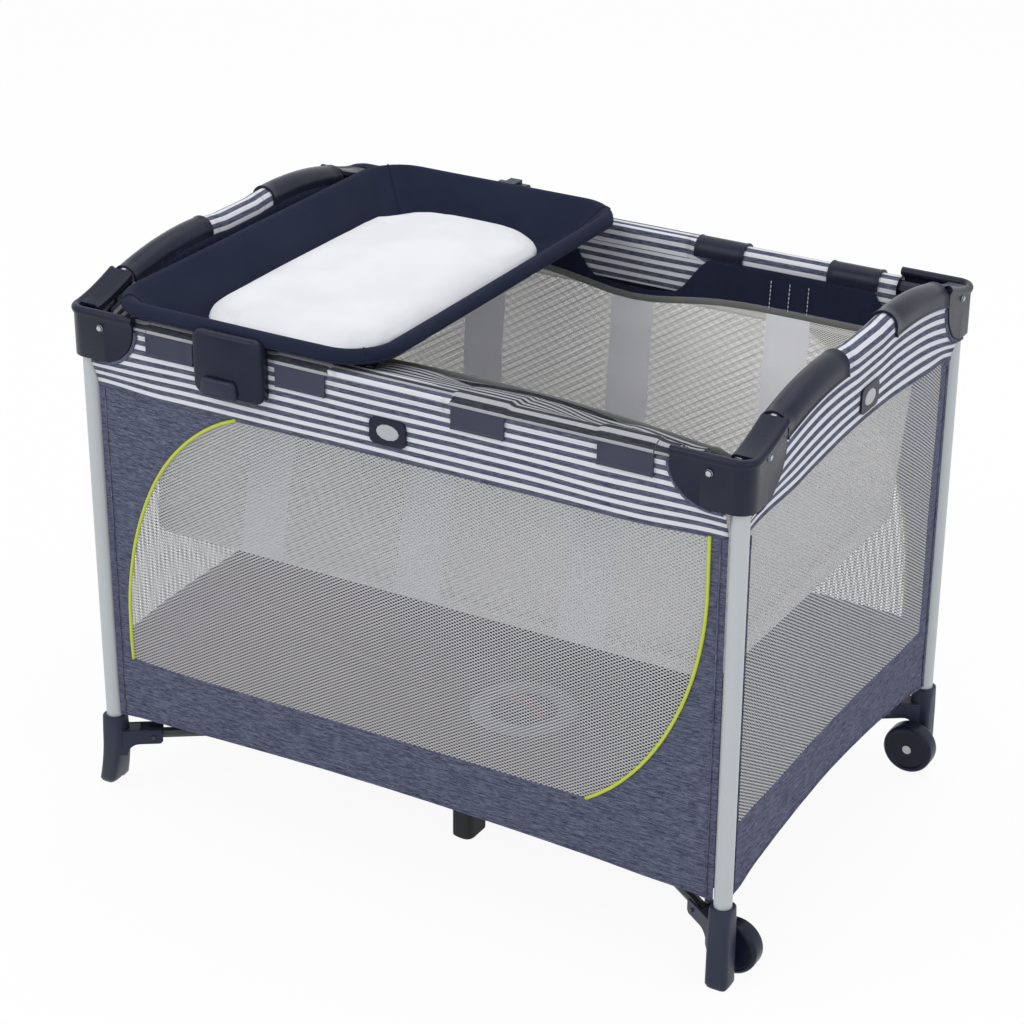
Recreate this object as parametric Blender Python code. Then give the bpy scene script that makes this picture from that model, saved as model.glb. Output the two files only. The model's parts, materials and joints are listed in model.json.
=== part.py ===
"""Travel play yard: a folding frame with fabric walls, a hanging bassinet and a clip-on changer.

Metres, +Z up. +X runs along the long sides, -Y is the front, and the origin is on the floor under the hub.
"""

import math

import bmesh
import bpy
from mathutils import Matrix, Vector

# Frame
HALF_LENGTH = 0.500  # post axis to centre along X
HALF_WIDTH = 0.345  # post axis to centre along Y
POST_RADIUS = 0.0125
POST_WALL = 0.0015
POST_DROP = 0.0053  # post's top below the long rails' pivots
POST_SEAT = 0.009  # post's lower end above the floor legs' axis
SEAT_GAP = 0.0003
SMOOTH_ANGLE = math.radians(35)
ROUND_SIDES = 12
TUBE_SIDES = 8
PIN_SIDES = 8

# Rails and their pivots
LONG_PIVOT_HEIGHT = 0.750
SHORT_PIVOT_RISE = 0.014  # short rails' pivots above the long ones
LONG_CAP_PIVOT = 0.035  # post axis to rivet
SHORT_CAP_PIVOT = 0.030
SHORT_LOCK_PIVOT = 0.040  # half the distance between a short lock's two pivots
RAIL_RADIUS = 0.011
RAIL_END = 0.010  # rail beyond its pivot
RAIL_ARCH = 0.040  # rise of a short rail above its pivots
RAIL_STATIONS = 8
RAIL_DIP = 0.017  # fall of a short rail from its arch to its lock
PIN_RADIUS = 0.003
PIN_CLEARANCE = 0.0004
RIVET_RADIUS = 0.005
RIVET_HEIGHT = 0.0022

# Corner caps
CAP_OFFSET = 0.0215  # post axis to outer face
CAP_WALL = 0.004
CAP_DROP = 0.047  # lower edge below the long rails' pivots
CAP_HEADROOM = 0.025  # rim above the long rails' pivots
CAP_RISE = 0.017  # rise of the short arm's rim at its tip
CAP_ARM_LONG = 0.090
CAP_ARM_SHORT = 0.070
CAP_CORNER = 0.020  # plan radius
CAP_SWEEP = 0.055  # radius of the arms' lower corners
CAP_RIM = 0.006
CAP_WEB = 0.012
SOCKET_WALL = 0.0037
SOCKET_DEPTH = 0.048
SOCKET_ROOF = 0.0035

# Rail locks and release buttons
LOCK_HALF_DEPTH = 0.0145
LOCK_END = 0.018  # housing beyond its pivots
LOCK_TOP = 0.012  # housing above its pivots
LOCK_SLOT = 0.0165  # slot floor below the pivots
LONG_LOCK_DROP = 0.075  # housing below the pivots
SHORT_LOCK_DROP = 0.057
LONG_BUTTON_DROP = 0.052
SHORT_BUTTON_DROP = 0.0345
BEZEL_HALF_WIDTH = 0.028
BEZEL_HALF_HEIGHT = 0.0185
BEZEL_PROUD = 0.006
BEZEL_CORNER = 0.009
BUTTON_HALF_WIDTH = 0.018
BUTTON_HALF_HEIGHT = 0.0115
BUTTON_THICKNESS = 0.0125
BUTTON_PROUD = 0.001
BUTTON_TRAVEL = 0.006
BUTTON_FACE = ((1.0, 0.002), (0.92, 0.0006), (0.7, 0.0))  # share of the outline, depth below the face

# Feet, wheels and floor frame
FOOT_SOCKET = 0.0475  # height of a foot's socket
FOOT_SPLAY = 0.0245  # plain foot, outward lean of its sole along X
FOOT_SHIFT = 0.018  # plain foot, inward shift of its sole along Y
FOOT_SOLE_X = 0.028
FOOT_SOLE_Y = 0.044
FOOT_NOTCH = 0.007  # arch between the two pads of a plain foot's sole
FOOT_CHAMFER = 0.18  # share of a foot's side that each corner cuts off
FOOT_FLARE = 1.6  # how fast a foot spreads towards its sole
STAND_X = 0.034  # wheel foot's sole
STAND_Y = 0.037
STAND_SHIFT = 0.0035
LEG_HEIGHT = 0.089
LEG_RADIUS = 0.008
LEG_END = 0.007
FOOT_PIVOT = 0.055  # post axis to leg pivot along the diagonal
ARM_WIDTH = 0.030
ARM_HALF_HEIGHT = 0.0115
ARM_END = 0.014
WHEEL_RADIUS = 0.0385
WHEEL_WIDTH = 0.028
WHEEL_LIFT = 0.001
WHEEL_INSET = 0.027  # post axis to the wheel's outer face
WHEEL_RIM = 0.027
WHEEL_DISH = 0.003
WHEEL_ROUND = 0.005
WHEEL_SIDES = 20
AXLE_RADIUS = 0.0042
AXLE_HEAD = 0.007
AXLE_HEAD_HEIGHT = 0.002
HUB_RADIUS = 0.080
HUB_ROOF = 0.004
HUB_CLEAR = 0.0112  # leg axis to the underside of the hub's roof
HUB_SKIRT = 0.009
HUB_SIDES = 24
SIDE_LEG_OFFSET = 0.018
SIDE_LEG_PIVOT = 0.045
SIDE_LEG_REACH = 0.190
SIDE_LEG_RADIUS = 0.0075
SIDE_FOOT_X = 0.034
SIDE_FOOT_Y = 0.050
SIDE_FOOT_TAPER = 0.004
SIDE_FOOT_CORNER = 0.010
STRAP_WIDTH = 0.020
STRAP_SPAN = 0.070
STRAP_RISE = 0.018
STRAP_THICKNESS = 0.002

# Fabric walls and floor
FABRIC = 0.003
FABRIC_PLANE = 0.0015  # post axis to the middle of a wall
SLEEVE_INNER = 0.0132
SLEEVE_OUTER = 0.0155
SLEEVE_WRAP = math.radians(200)
SLEEVE_DROP = 0.090  # from the rail down to where the wall hangs plumb
WALL_END_GAP = 0.001
WALL_CUT_GAP = 0.002
HEM_ABOVE_SOCKET = 0.003  # hem at the posts above the feet's sockets
LONG_HEM_RISE = 0.017
SHORT_HEM_RISE = 0.038
FLOOR_ABOVE_HEM = 0.008
FLOOR_EDGE_GAP = 0.0006
FLOOR_HOLE = 0.052
FLOOR_CELLS = 8
WALL_STATIONS = 13

# Bassinet and the strips that clip it over the rails
CLIP_INNER = 0.0165
CLIP_OUTER = 0.0195
CLIP_WRAP = math.radians(190)
CLIP_START = math.radians(-8)
CLIP_LOCK_GAP = 0.0116  # free rail between a long side's clips and their neighbours
CLIP_SADDLE_GAP = 0.0165
CLIP_CAP_GAP = 0.021
SHORT_CLIP_LENGTH = 0.185
SHORT_CLIP_CENTRE = 0.170
STRIP_OUTER = 0.0190
STRIP_THICKNESS = 0.0035
STRIP_DROP = 0.085  # strip's lower edge below the long rails' pivots
LONG_STRIP_END = 0.100  # post axis to the strip's end
SHORT_STRIP_END = 0.080
STRIP_STATIONS = 13
BASKET_WALL = 0.002
BASKET_DROP = 0.015  # basket's edge below the long rails' pivots
BASKET_DEPTH = 0.310
BASKET_TAPER = 0.020
BASKET_CORNER = 0.045
MATTRESS_MARGIN = 0.018
MATTRESS_THICKNESS = 0.026
MATTRESS_CORNER = 0.040

# Changer
CHANGER_LENGTH = 0.420
CHANGER_END_INSET = 0.050  # left posts' axes to the tube
CHANGER_OVERHANG = 0.015  # tube beyond the front posts' axes
CHANGER_BACK_INSET = 0.010
CHANGER_RISE = 0.037  # tube's axis above the long rails' pivots
CHANGER_CORNER = 0.065
CHANGER_TUBE = 0.009
COVER_THICKNESS = 0.0017
COVER_SLOPE = 0.060  # tube axis to the edge of the sunken floor
COVER_DEPTH = 0.050
COVER_FLOOR = 0.003
COVER_FLOOR_CORNER = 0.050
PAD_MARGIN = 0.004
PAD_THICKNESS = 0.020
PAD_DRAW = 0.006  # how far a pad's sides pull in between its corners
# Inset of a pad's outline and share of its thickness, from its base to its crown
PAD_PROFILE = ((0.012, 0.0), (0.0, 0.35), (0.006, 0.65), (0.030, 0.85), (0.080, 1.0))
BRACKET_LENGTH = 0.112
BRACKET_WALL = 0.0065
BRACKET_RISE = 0.003  # bracket's top above the changer tube's axis
BRACKET_HEIGHT = 0.092
BRACKET_SHELF = 0.009
BRACKET_BEVEL = 0.0025
TAB_LENGTH = 0.060
TAB_SHIFT = -0.012
TAB_THICKNESS = 0.007
TAB_GAP = 0.0008
TAB_RAISE = 0.001  # tab's lower edge above the bracket's
TAB_HEIGHT = 0.0265
TAB_BEVEL = 0.002
HINGE_OUT = 0.0356  # back rail axis to the changer's pivot
HINGE_DROP = 0.008  # pivot below the changer tube's axis
HINGE_SADDLE = 0.100
HINGE_WRAP = math.radians(150)
HINGE_LUG = 0.020
HINGE_LUG_RISE = 0.003  # lug's lower edge above the long rails' pivots
HINGE_LUG_END = 0.008
HINGE_ARM = 0.0155
HINGE_ARM_BELOW = 0.009  # arm below and above the pivot
HINGE_ARM_ABOVE = 0.014

# Heights that follow the rails' pivots and the floor legs
SHORT_PIVOT_HEIGHT = LONG_PIVOT_HEIGHT + SHORT_PIVOT_RISE
POST_TOP = LONG_PIVOT_HEIGHT - POST_DROP
POST_BOTTOM = LEG_HEIGHT + POST_SEAT
CAP_BOTTOM = LONG_PIVOT_HEIGHT - CAP_DROP
CAP_TOP = LONG_PIVOT_HEIGHT + CAP_HEADROOM
FOOT_SOCKET_FLOOR = LEG_HEIGHT - ARM_HALF_HEIGHT
FOOT_SOCKET_TOP = FOOT_SOCKET_FLOOR + FOOT_SOCKET
HEM_CORNER = FOOT_SOCKET_TOP + HEM_ABOVE_SOCKET
STRIP_BOTTOM = LONG_PIVOT_HEIGHT - STRIP_DROP
BASKET_TOP = LONG_PIVOT_HEIGHT - BASKET_DROP
BASKET_BOTTOM = BASKET_TOP - BASKET_DEPTH
CHANGER_HEIGHT = LONG_PIVOT_HEIGHT + CHANGER_RISE
BRACKET_TOP = CHANGER_HEIGHT + BRACKET_RISE
BRACKET_BOTTOM = BRACKET_TOP - BRACKET_HEIGHT
TAB_BOTTOM = BRACKET_BOTTOM + TAB_RAISE
TAB_TOP = TAB_BOTTOM + TAB_HEIGHT
HINGE_HEIGHT = CHANGER_HEIGHT - HINGE_DROP

# The lock and hub pivots that let all four sides and the floor fold together
DIAGONAL = math.hypot(HALF_LENGTH, HALF_WIDTH)
SHORT_PIVOT_SUM = SHORT_CAP_PIVOT + SHORT_LOCK_PIVOT
LONG_PIVOT_SUM = SHORT_PIVOT_SUM * HALF_LENGTH / HALF_WIDTH
LONG_LOCK_PIVOT = LONG_PIVOT_SUM - LONG_CAP_PIVOT
HUB_PIVOT = math.hypot(LONG_PIVOT_SUM, SHORT_PIVOT_SUM) - FOOT_PIVOT

# Two clips and the changer's saddle share each half of a long rail, from its lock to its cap
CLIPS_START = LONG_LOCK_PIVOT + LOCK_END + CLIP_LOCK_GAP
CLIPS_END = HALF_LENGTH - CAP_ARM_LONG - CLIP_CAP_GAP
LONG_CLIP_LENGTH = (CLIPS_END - CLIPS_START - HINGE_SADDLE) / 2 - CLIP_SADDLE_GAP
LONG_CLIP_CENTRES = (CLIPS_START + LONG_CLIP_LENGTH / 2, CLIPS_END - LONG_CLIP_LENGTH / 2)

# The changer's place over the rails
BRACKET_CENTRE = -(CLIPS_START + CLIPS_END) / 2
CHANGER_LEFT = CHANGER_END_INSET - HALF_LENGTH
CHANGER_RIGHT = CHANGER_LEFT + CHANGER_LENGTH
CHANGER_FRONT = -HALF_WIDTH - CHANGER_OVERHANG
CHANGER_BACK = HALF_WIDTH - CHANGER_BACK_INSET

SOCKET_RADIUS = POST_RADIUS + SEAT_GAP + SOCKET_WALL
BORE_RADIUS = POST_RADIUS + SEAT_GAP
PIN_HOLE = PIN_RADIUS + PIN_CLEARANCE
LEG_SLOT = LEG_RADIUS + SEAT_GAP
WHEEL_HEIGHT = WHEEL_RADIUS + WHEEL_LIFT
HUB_TOP = LEG_HEIGHT + HUB_CLEAR + HUB_ROOF

CORNERS = {
    "front_left": (-1, -1),
    "front_right": (1, -1),
    "back_left": (-1, 1),
    "back_right": (1, 1),
}
# Each side's direction along its rail, its outward direction and the names of its two halves
SIDES = {
    "front": (Vector((1, 0, 0)), Vector((0, -1, 0)), ("left", "right")),
    "back": (Vector((1, 0, 0)), Vector((0, 1, 0)), ("left", "right")),
    "left": (Vector((0, 1, 0)), Vector((-1, 0, 0)), ("front", "back")),
    "right": (Vector((0, 1, 0)), Vector((1, 0, 0)), ("front", "back")),
}
COLOURS = {
    "navy_plastic": ((0.016, 0.020, 0.042), 0.45, 0.0),
    "silver_tube": ((0.52, 0.56, 0.60), 0.38, 0.3),
    "steel": ((0.32, 0.33, 0.34), 0.40, 0.9),
    "grey_button": ((0.55, 0.57, 0.60), 0.45, 0.0),
    "black_rubber": ((0.012, 0.013, 0.018), 0.70, 0.0),
    "denim": ((0.085, 0.105, 0.175), 0.90, 0.0),
    "dark_cloth": ((0.090, 0.090, 0.095), 0.90, 0.0),
    "bassinet_mesh": ((0.50, 0.49, 0.47), 0.90, 0.0),
    "mattress_cloth": ((0.60, 0.60, 0.60), 0.95, 0.0),
    "navy_cloth": ((0.014, 0.018, 0.045), 0.85, 0.0),
    "white_cloth": ((0.85, 0.86, 0.88), 0.95, 0.0),
    "red_webbing": ((0.45, 0.03, 0.03), 0.85, 0.0),
}


def clear_scene():
    for thing in list(bpy.data.objects):
        bpy.data.objects.remove(thing)


def material(name):
    found = bpy.data.materials.get(name)
    if found:
        return found
    colour, roughness, metallic = COLOURS[name]
    made = bpy.data.materials.new(name)
    made.use_nodes = True
    shader = made.node_tree.nodes["Principled BSDF"]
    shader.inputs["Base Color"].default_value = (*colour, 1.0)
    shader.inputs["Roughness"].default_value = roughness
    shader.inputs["Metallic"].default_value = metallic
    return made


def loft(loops, closed=False):
    """Joins loops of equally many points, capping the ends unless the path closes on itself."""
    mesh = bmesh.new()
    rows = [[mesh.verts.new(point) for point in loop] for loop in loops]
    count = len(loops[0])
    pairs = list(zip(rows, rows[1:]))
    if closed:
        pairs.append((rows[-1], rows[0]))
    for first, second in pairs:
        for i in range(count):
            j = (i + 1) % count
            mesh.faces.new((first[i], first[j], second[j], second[i]))
    if not closed:
        mesh.faces.new(list(reversed(rows[0])))
        mesh.faces.new(rows[-1])
    return mesh


def circle(centre, across, up, radius, sides=ROUND_SIDES):
    """Points on a circle in the plane of two unit vectors."""
    turns = [2 * math.pi * i / sides for i in range(sides)]
    return [centre + radius * (math.cos(a) * across + math.sin(a) * up) for a in turns]


def frame_of(direction):
    """Two unit vectors square to a direction."""
    upright = abs(direction.z) > abs(direction.x) + abs(direction.y)
    helper = Vector((1, 0, 0)) if upright else Vector((0, 0, 1))
    across = direction.cross(helper).normalized()
    return across, across.cross(direction).normalized()


def rod(start, end, radius, sides=ROUND_SIDES):
    start, end = Vector(start), Vector(end)
    across, up = frame_of((end - start).normalized())
    return loft([circle(p, across, up, radius, sides) for p in (start, end)])


def turned(centre, axis, profile, sides, closed=False):
    """A round piece from (radius, distance along the axis) pairs."""
    across, up = frame_of(axis)
    return loft([circle(centre + along * axis, across, up, r, sides) for r, along in profile], closed)


def tube_along(points, radius, sides=TUBE_SIDES):
    """A rod that follows a planar path, its rings square to it."""
    loops = []
    for i, point in enumerate(points):
        before = points[max(i - 1, 0)]
        after = points[min(i + 1, len(points) - 1)]
        across, up = frame_of((after - before).normalized())
        loops.append(circle(point, across, up, radius, sides))
    return loft(loops)


def box(low, high):
    (x0, y0, z0), (x1, y1, z1) = low, high
    corners = ((x0, y0), (x1, y0), (x1, y1), (x0, y1))
    return loft([[Vector((x, y, z)) for x, y in corners] for z in (z0, z1)])


def rounded_rectangle(centre, half, corner, height, steps=5):
    """Points anticlockwise round a rectangle with round corners, at one height."""
    points = []
    for quarter, (sx, sy) in enumerate(((1, 1), (-1, 1), (-1, -1), (1, -1))):
        for step in range(steps):
            turn = math.pi / 2 * (quarter + step / (steps - 1))
            x = centre[0] + sx * (half[0] - corner) + corner * math.cos(turn)
            y = centre[1] + sy * (half[1] - corner) + corner * math.sin(turn)
            points.append(Vector((x, y, height)))
    return points


def solid(name, mesh, colour, origin=(0, 0, 0)):
    """Makes a named object from a bmesh in world coordinates, its origin at a given point."""
    origin = Vector(origin)
    bmesh.ops.recalc_face_normals(mesh, faces=mesh.faces)
    mesh.transform(Matrix.Translation(-origin))
    data = bpy.data.meshes.new(name)
    mesh.to_mesh(data)
    mesh.free()
    data.materials.append(material(colour))
    data.shade_smooth()
    data.set_sharp_from_angle(angle=SMOOTH_ANGLE)
    made = bpy.data.objects.new(name, data)
    made.location = origin
    bpy.context.collection.objects.link(made)
    return made


def reshape(target, united=(), cut=()):
    """Joins meshes to an object, then cuts others out of it."""
    tools = []
    for operation, meshes in (("UNION", united), ("DIFFERENCE", cut)):
        for mesh in meshes:
            tool = solid("tool", mesh, target.data.materials[0].name)
            modifier = target.modifiers.new("shape", "BOOLEAN")
            modifier.operation = operation
            modifier.solver = "EXACT"
            modifier.object = tool
            tools.append(tool)
    shaped = evaluated_mesh(target)
    target.modifiers.clear()
    target.data = shaped
    for tool in tools:
        bpy.data.objects.remove(tool)
    return target


def evaluated_mesh(target):
    bpy.context.view_layer.update()
    return bpy.data.meshes.new_from_object(target.evaluated_get(bpy.context.evaluated_depsgraph_get()))


def bevelled(target, width, segments=2):
    modifier = target.modifiers.new("bevel", "BEVEL")
    modifier.width = width
    modifier.segments = segments
    modifier.limit_method = "ANGLE"
    target.data = evaluated_mesh(target)
    target.modifiers.clear()
    return target


class Corner:
    """A frame corner: u and v run from the post axis towards the centre, along X and Y."""

    def __init__(self, name):
        self.name = name
        self.sx, self.sy = CORNERS[name]
        self.inward = Vector((-self.sx * HALF_LENGTH, -self.sy * HALF_WIDTH, 0)).normalized()
        self.across = Vector((0, 0, 1)).cross(self.inward)
        # Of the four corners, the one at the front left stays put when the frame folds
        if self.sy < 0:
            self.origin = self.point(LONG_CAP_PIVOT, 0, LONG_PIVOT_HEIGHT)
        else:
            self.origin = self.point(0, SHORT_CAP_PIVOT, SHORT_PIVOT_HEIGHT)
        if name == "back_right":
            self.origin = self.point(LONG_CAP_PIVOT, 0, LONG_PIVOT_HEIGHT)

    def point(self, u, v, z):
        return Vector((self.sx * (HALF_LENGTH - u), self.sy * (HALF_WIDTH - v), z))

    def diagonal(self, along, aside, z):
        return self.point(0, 0, z) + along * self.inward + aside * self.across

    def block(self, u, v, z):
        first, second = self.point(u[0], v[0], z[0]), self.point(u[1], v[1], z[1])
        low = [min(a, b) for a, b in zip(first, second)]
        high = [max(a, b) for a, b in zip(first, second)]
        return box(low, high)

    def beam(self, along, half_width, z):
        """A block along the diagonal towards the hub."""
        signs = ((along[0], -1), (along[1], -1), (along[1], 1), (along[0], 1))
        corners = [(a, sign * half_width) for a, sign in signs]
        return loft([[self.diagonal(a, b, height) for a, b in corners] for height in z])

    def pin(self, along, half_length, z, radius):
        ends = [self.diagonal(along, side * half_length, z) for side in (-1, 1)]
        return rod(*ends, radius, PIN_SIDES)


class Side:
    """One side of the yard: s runs along its rail, n outwards from the rail's axis."""

    def __init__(self, name):
        self.name = name
        self.along, self.out, self.halves = SIDES[name]
        self.long = name in ("front", "back")
        self.centre = self.out * (HALF_WIDTH if self.long else HALF_LENGTH)
        self.half_span = HALF_LENGTH if self.long else HALF_WIDTH
        self.pivot_height = LONG_PIVOT_HEIGHT if self.long else SHORT_PIVOT_HEIGHT
        self.cap_pivot = self.half_span - (LONG_CAP_PIVOT if self.long else SHORT_CAP_PIVOT)
        self.lock_pivot = LONG_LOCK_PIVOT if self.long else SHORT_LOCK_PIVOT
        self.cap_tip = self.half_span - (CAP_ARM_LONG if self.long else CAP_ARM_SHORT)
        self.lock_bottom = self.pivot_height - (LONG_LOCK_DROP if self.long else SHORT_LOCK_DROP)
        self.button_height = self.pivot_height - (LONG_BUTTON_DROP if self.long else SHORT_BUTTON_DROP)
        self.hem_rise = LONG_HEM_RISE if self.long else SHORT_HEM_RISE

    def point(self, s, n, z):
        return self.centre + s * self.along + n * self.out + Vector((0, 0, z))

    def block(self, s, n, z):
        first, second = self.point(s[0], n[0], z[0]), self.point(s[1], n[1], z[1])
        low = [min(a, b) for a, b in zip(first, second)]
        high = [max(a, b) for a, b in zip(first, second)]
        return box(low, high)

    def pin(self, s, n, z, radius):
        return rod(self.point(s, n[0], z), self.point(s, n[1], z), radius, PIN_SIDES)

    def rail_height(self, s):
        """Height of the rail's axis: straight on a long side, arched on a short one."""
        if self.long:
            return self.pivot_height
        at_lock = (RAIL_ARCH - RAIL_DIP) / RAIL_ARCH
        rise = 2 * (1 - at_lock) + 2 * math.sqrt(1 - at_lock)
        t = (abs(s) - self.lock_pivot) / (self.cap_pivot - self.lock_pivot)
        t = min(max(t, 0.0), 1.0)
        return self.pivot_height + RAIL_ARCH * (at_lock + rise * t - (at_lock + rise) * t * t)

    def hem_height(self, s):
        return HEM_CORNER + self.hem_rise * (1 - (s / self.half_span) ** 2)

    def swept(self, sections):
        """A loft through sections, each a place along the side with its (n, z) outline."""
        return loft([[self.point(s, n, z) for n, z in outline] for s, outline in sections])


def spread(start, end, count):
    return [start + (end - start) * i / (count - 1) for i in range(count)]


def arc(radius, centre_height, start, end, count=7):
    turns = spread(start, end, count)
    return [(radius * math.cos(a), centre_height + radius * math.sin(a)) for a in turns]


def make_post(corner):
    inner = POST_RADIUS - POST_WALL
    profile = [(POST_RADIUS, POST_BOTTOM), (POST_RADIUS, POST_TOP), (inner, POST_TOP), (inner, POST_BOTTOM)]
    mesh = turned(corner.point(0, 0, 0), Vector((0, 0, 1)), profile, ROUND_SIDES, closed=True)
    return solid(f"post_{corner.name}", mesh, "silver_tube", corner.origin)


def cap_stations():
    """Places along a cap's outer face: point, outward direction, lower edge and top."""
    tips = ((CAP_ARM_LONG, 0.0), (CAP_ARM_SHORT, CAP_RISE))
    swing = [math.radians(a) for a in (90, 65, 40, 0)]
    arms = []
    for reach, rise in tips:
        arm = []
        for turn in swing:
            place = reach - CAP_SWEEP * (1 - math.sin(turn))
            lower = CAP_BOTTOM + CAP_SWEEP * (1 - math.cos(turn))
            arm.append((place, lower, CAP_TOP + rise * max(place, 0) / reach))
        arms.append(arm)
    stations = [((place, -CAP_OFFSET), (0, -1), low, top) for place, low, top in arms[0]]
    bend = CAP_CORNER - CAP_OFFSET
    for turn in spread(0, math.pi / 2, 4):
        facing = (-math.sin(turn), -math.cos(turn))
        place = (bend + CAP_CORNER * facing[0], bend + CAP_CORNER * facing[1])
        stations.append((place, facing, CAP_BOTTOM, CAP_TOP))
    stations += [((-CAP_OFFSET, place), (-1, 0), low, top) for place, low, top in reversed(arms[1])]
    return stations


def cap_outline(low, top):
    """A cap wall's section as (outward, height) pairs: a plate with a round rim."""
    rim = [math.radians(a) for a in (-45, 22, 90, 158, 225)]
    plate_top = top - 2 * CAP_RIM
    outline = [(0.0, low), (0.0, plate_top)]
    outline += [(CAP_RIM * (math.cos(a) - 0.5), top + CAP_RIM * (math.sin(a) - 1)) for a in rim]
    return outline + [(-CAP_WALL, plate_top), (-CAP_WALL, low)]


def make_cap(corner):
    loops = []
    for (u, v), (du, dv), low, top in cap_stations():
        loops.append([corner.point(u + n * du, v + n * dv, z) for n, z in cap_outline(low, top)])
    cap = solid(f"cap_{corner.name}", loft(loops), "navy_plastic", corner.origin)
    socket_top = POST_TOP + SEAT_GAP + SOCKET_ROOF
    post = corner.point(0, 0, 0)
    up = Vector((0, 0, 1))
    socket = rod(post + up * (socket_top - SOCKET_DEPTH), post + up * socket_top, SOCKET_RADIUS)
    reach = (-CAP_OFFSET + CAP_WALL / 2, 0)
    half_web = (-CAP_WEB / 2, CAP_WEB / 2)
    webs = [
        corner.block(half_web, reach, (CAP_BOTTOM, socket_top - SOCKET_ROOF)),
        corner.block(reach, half_web, (CAP_BOTTOM, socket_top - SOCKET_ROOF)),
    ]
    bore = rod(post, post + up * (POST_TOP + SEAT_GAP), BORE_RADIUS)
    outside = CAP_OFFSET + 2 * CAP_RIM
    long_hole = rod(
        corner.point(LONG_CAP_PIVOT, -outside, LONG_PIVOT_HEIGHT),
        corner.point(LONG_CAP_PIVOT, 0, LONG_PIVOT_HEIGHT), PIN_HOLE, PIN_SIDES)
    short_hole = rod(
        corner.point(-outside, SHORT_CAP_PIVOT, SHORT_PIVOT_HEIGHT),
        corner.point(0, SHORT_CAP_PIVOT, SHORT_PIVOT_HEIGHT), PIN_HOLE, PIN_SIDES)
    return reshape(cap, [socket, *webs], [bore, long_hole, short_hole])


def foot_loop(corner, u, v, height):
    """A rectangle with cut corners between two u and two v values."""
    du, dv = FOOT_CHAMFER * (u[1] - u[0]), FOOT_CHAMFER * (v[1] - v[0])
    outline = (
        (u[0] + du, v[0]), (u[1] - du, v[0]), (u[1], v[0] + dv), (u[1], v[1] - dv),
        (u[1] - du, v[1]), (u[0] + du, v[1]), (u[0], v[1] - dv), (u[0], v[0] + dv),
    )
    return [corner.point(a, b, height) for a, b in outline]


def foot_leg(corner, size, shift):
    """The tapered stand under a post socket: sole size and shift from the post axis, in u and v."""
    loops = []
    for share in (0.0, 0.35, 0.7, 1.0):
        eased = (1 - share) ** FOOT_FLARE
        ranges = []
        for sole, moved in zip(size, shift):
            half = SOCKET_RADIUS + (sole / 2 - SOCKET_RADIUS) * eased
            ranges.append((moved * eased - half, moved * eased + half))
        loops.append(foot_loop(corner, *ranges, share * LEG_HEIGHT))
    return loft(loops)


def make_foot(corner, wheeled):
    post = corner.point(0, 0, 0)
    up = Vector((0, 0, 1))
    name = f"foot_{corner.name}"
    if wheeled:
        sole, shift = (STAND_X, STAND_Y), (0, STAND_SHIFT)
    else:
        sole, shift = (FOOT_SOLE_X, FOOT_SOLE_Y), (-FOOT_SPLAY, FOOT_SHIFT)
    foot = solid(name, foot_leg(corner, sole, shift), "navy_plastic", corner.origin)
    socket = rod(post + up * FOOT_SOCKET_FLOOR, post + up * FOOT_SOCKET_TOP, SOCKET_RADIUS)
    arm_heights = (LEG_HEIGHT - ARM_HALF_HEIGHT, LEG_HEIGHT + ARM_HALF_HEIGHT)
    arm = corner.beam((0, FOOT_PIVOT + ARM_END), ARM_WIDTH / 2, arm_heights)
    bore = rod(post + up * (POST_BOTTOM - SEAT_GAP), post + up * (FOOT_SOCKET_TOP + POST_RADIUS), BORE_RADIUS)
    slot_start = FOOT_PIVOT - math.hypot(LEG_END, LEG_RADIUS) - 2 * SEAT_GAP
    slot = corner.beam(
        (slot_start, FOOT_PIVOT + 2 * ARM_END), LEG_SLOT, (LEG_HEIGHT - ARM_WIDTH, LEG_HEIGHT + ARM_WIDTH))
    cuts = [bore, slot, corner.pin(FOOT_PIVOT, ARM_WIDTH, LEG_HEIGHT, PIN_HOLE)]
    if wheeled:
        cuts.append(rod(
            corner.point(0, -STAND_Y, WHEEL_HEIGHT), corner.point(0, STAND_Y, WHEEL_HEIGHT),
            AXLE_RADIUS + SEAT_GAP))
    else:
        reach = 2 * FOOT_SPLAY + FOOT_SOLE_X
        cuts.append(rod(
            corner.point(-reach, FOOT_SHIFT, 0), corner.point(reach, FOOT_SHIFT, 0), FOOT_NOTCH))
    return reshape(foot, [socket, arm], cuts)


def make_wheel(corner):
    near = -WHEEL_WIDTH / 2
    bore = AXLE_RADIUS + PIN_CLEARANCE
    half_profile = [
        (bore, near + WHEEL_DISH),
        (WHEEL_RIM - WHEEL_DISH, near + WHEEL_DISH),
        (WHEEL_RIM, near),
        (WHEEL_RADIUS - WHEEL_ROUND, near),
        (WHEEL_RADIUS, near + WHEEL_ROUND),
    ]
    profile = half_profile + [(radius, -along) for radius, along in reversed(half_profile)]
    centre = corner.point(0, WHEEL_INSET + WHEEL_WIDTH / 2, WHEEL_HEIGHT)
    mesh = turned(centre, Vector((0, 1, 0)), profile, WHEEL_SIDES, closed=True)
    side = corner.name.split("_")[0]
    return solid(f"wheel_{side}", mesh, "navy_plastic", centre)


def make_axle(corner):
    end = WHEEL_INSET + WHEEL_WIDTH - WHEEL_DISH + SEAT_GAP
    inward = Vector((0, -corner.sy, 0))
    start = corner.point(0, 0, WHEEL_HEIGHT)
    profile = [(AXLE_RADIUS, 0), (AXLE_RADIUS, end), (AXLE_HEAD, end), (AXLE_HEAD, end + AXLE_HEAD_HEIGHT)]
    side = corner.name.split("_")[0]
    return solid(f"axle_{side}", turned(start, inward, profile, ROUND_SIDES), "steel", corner.origin)


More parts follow.
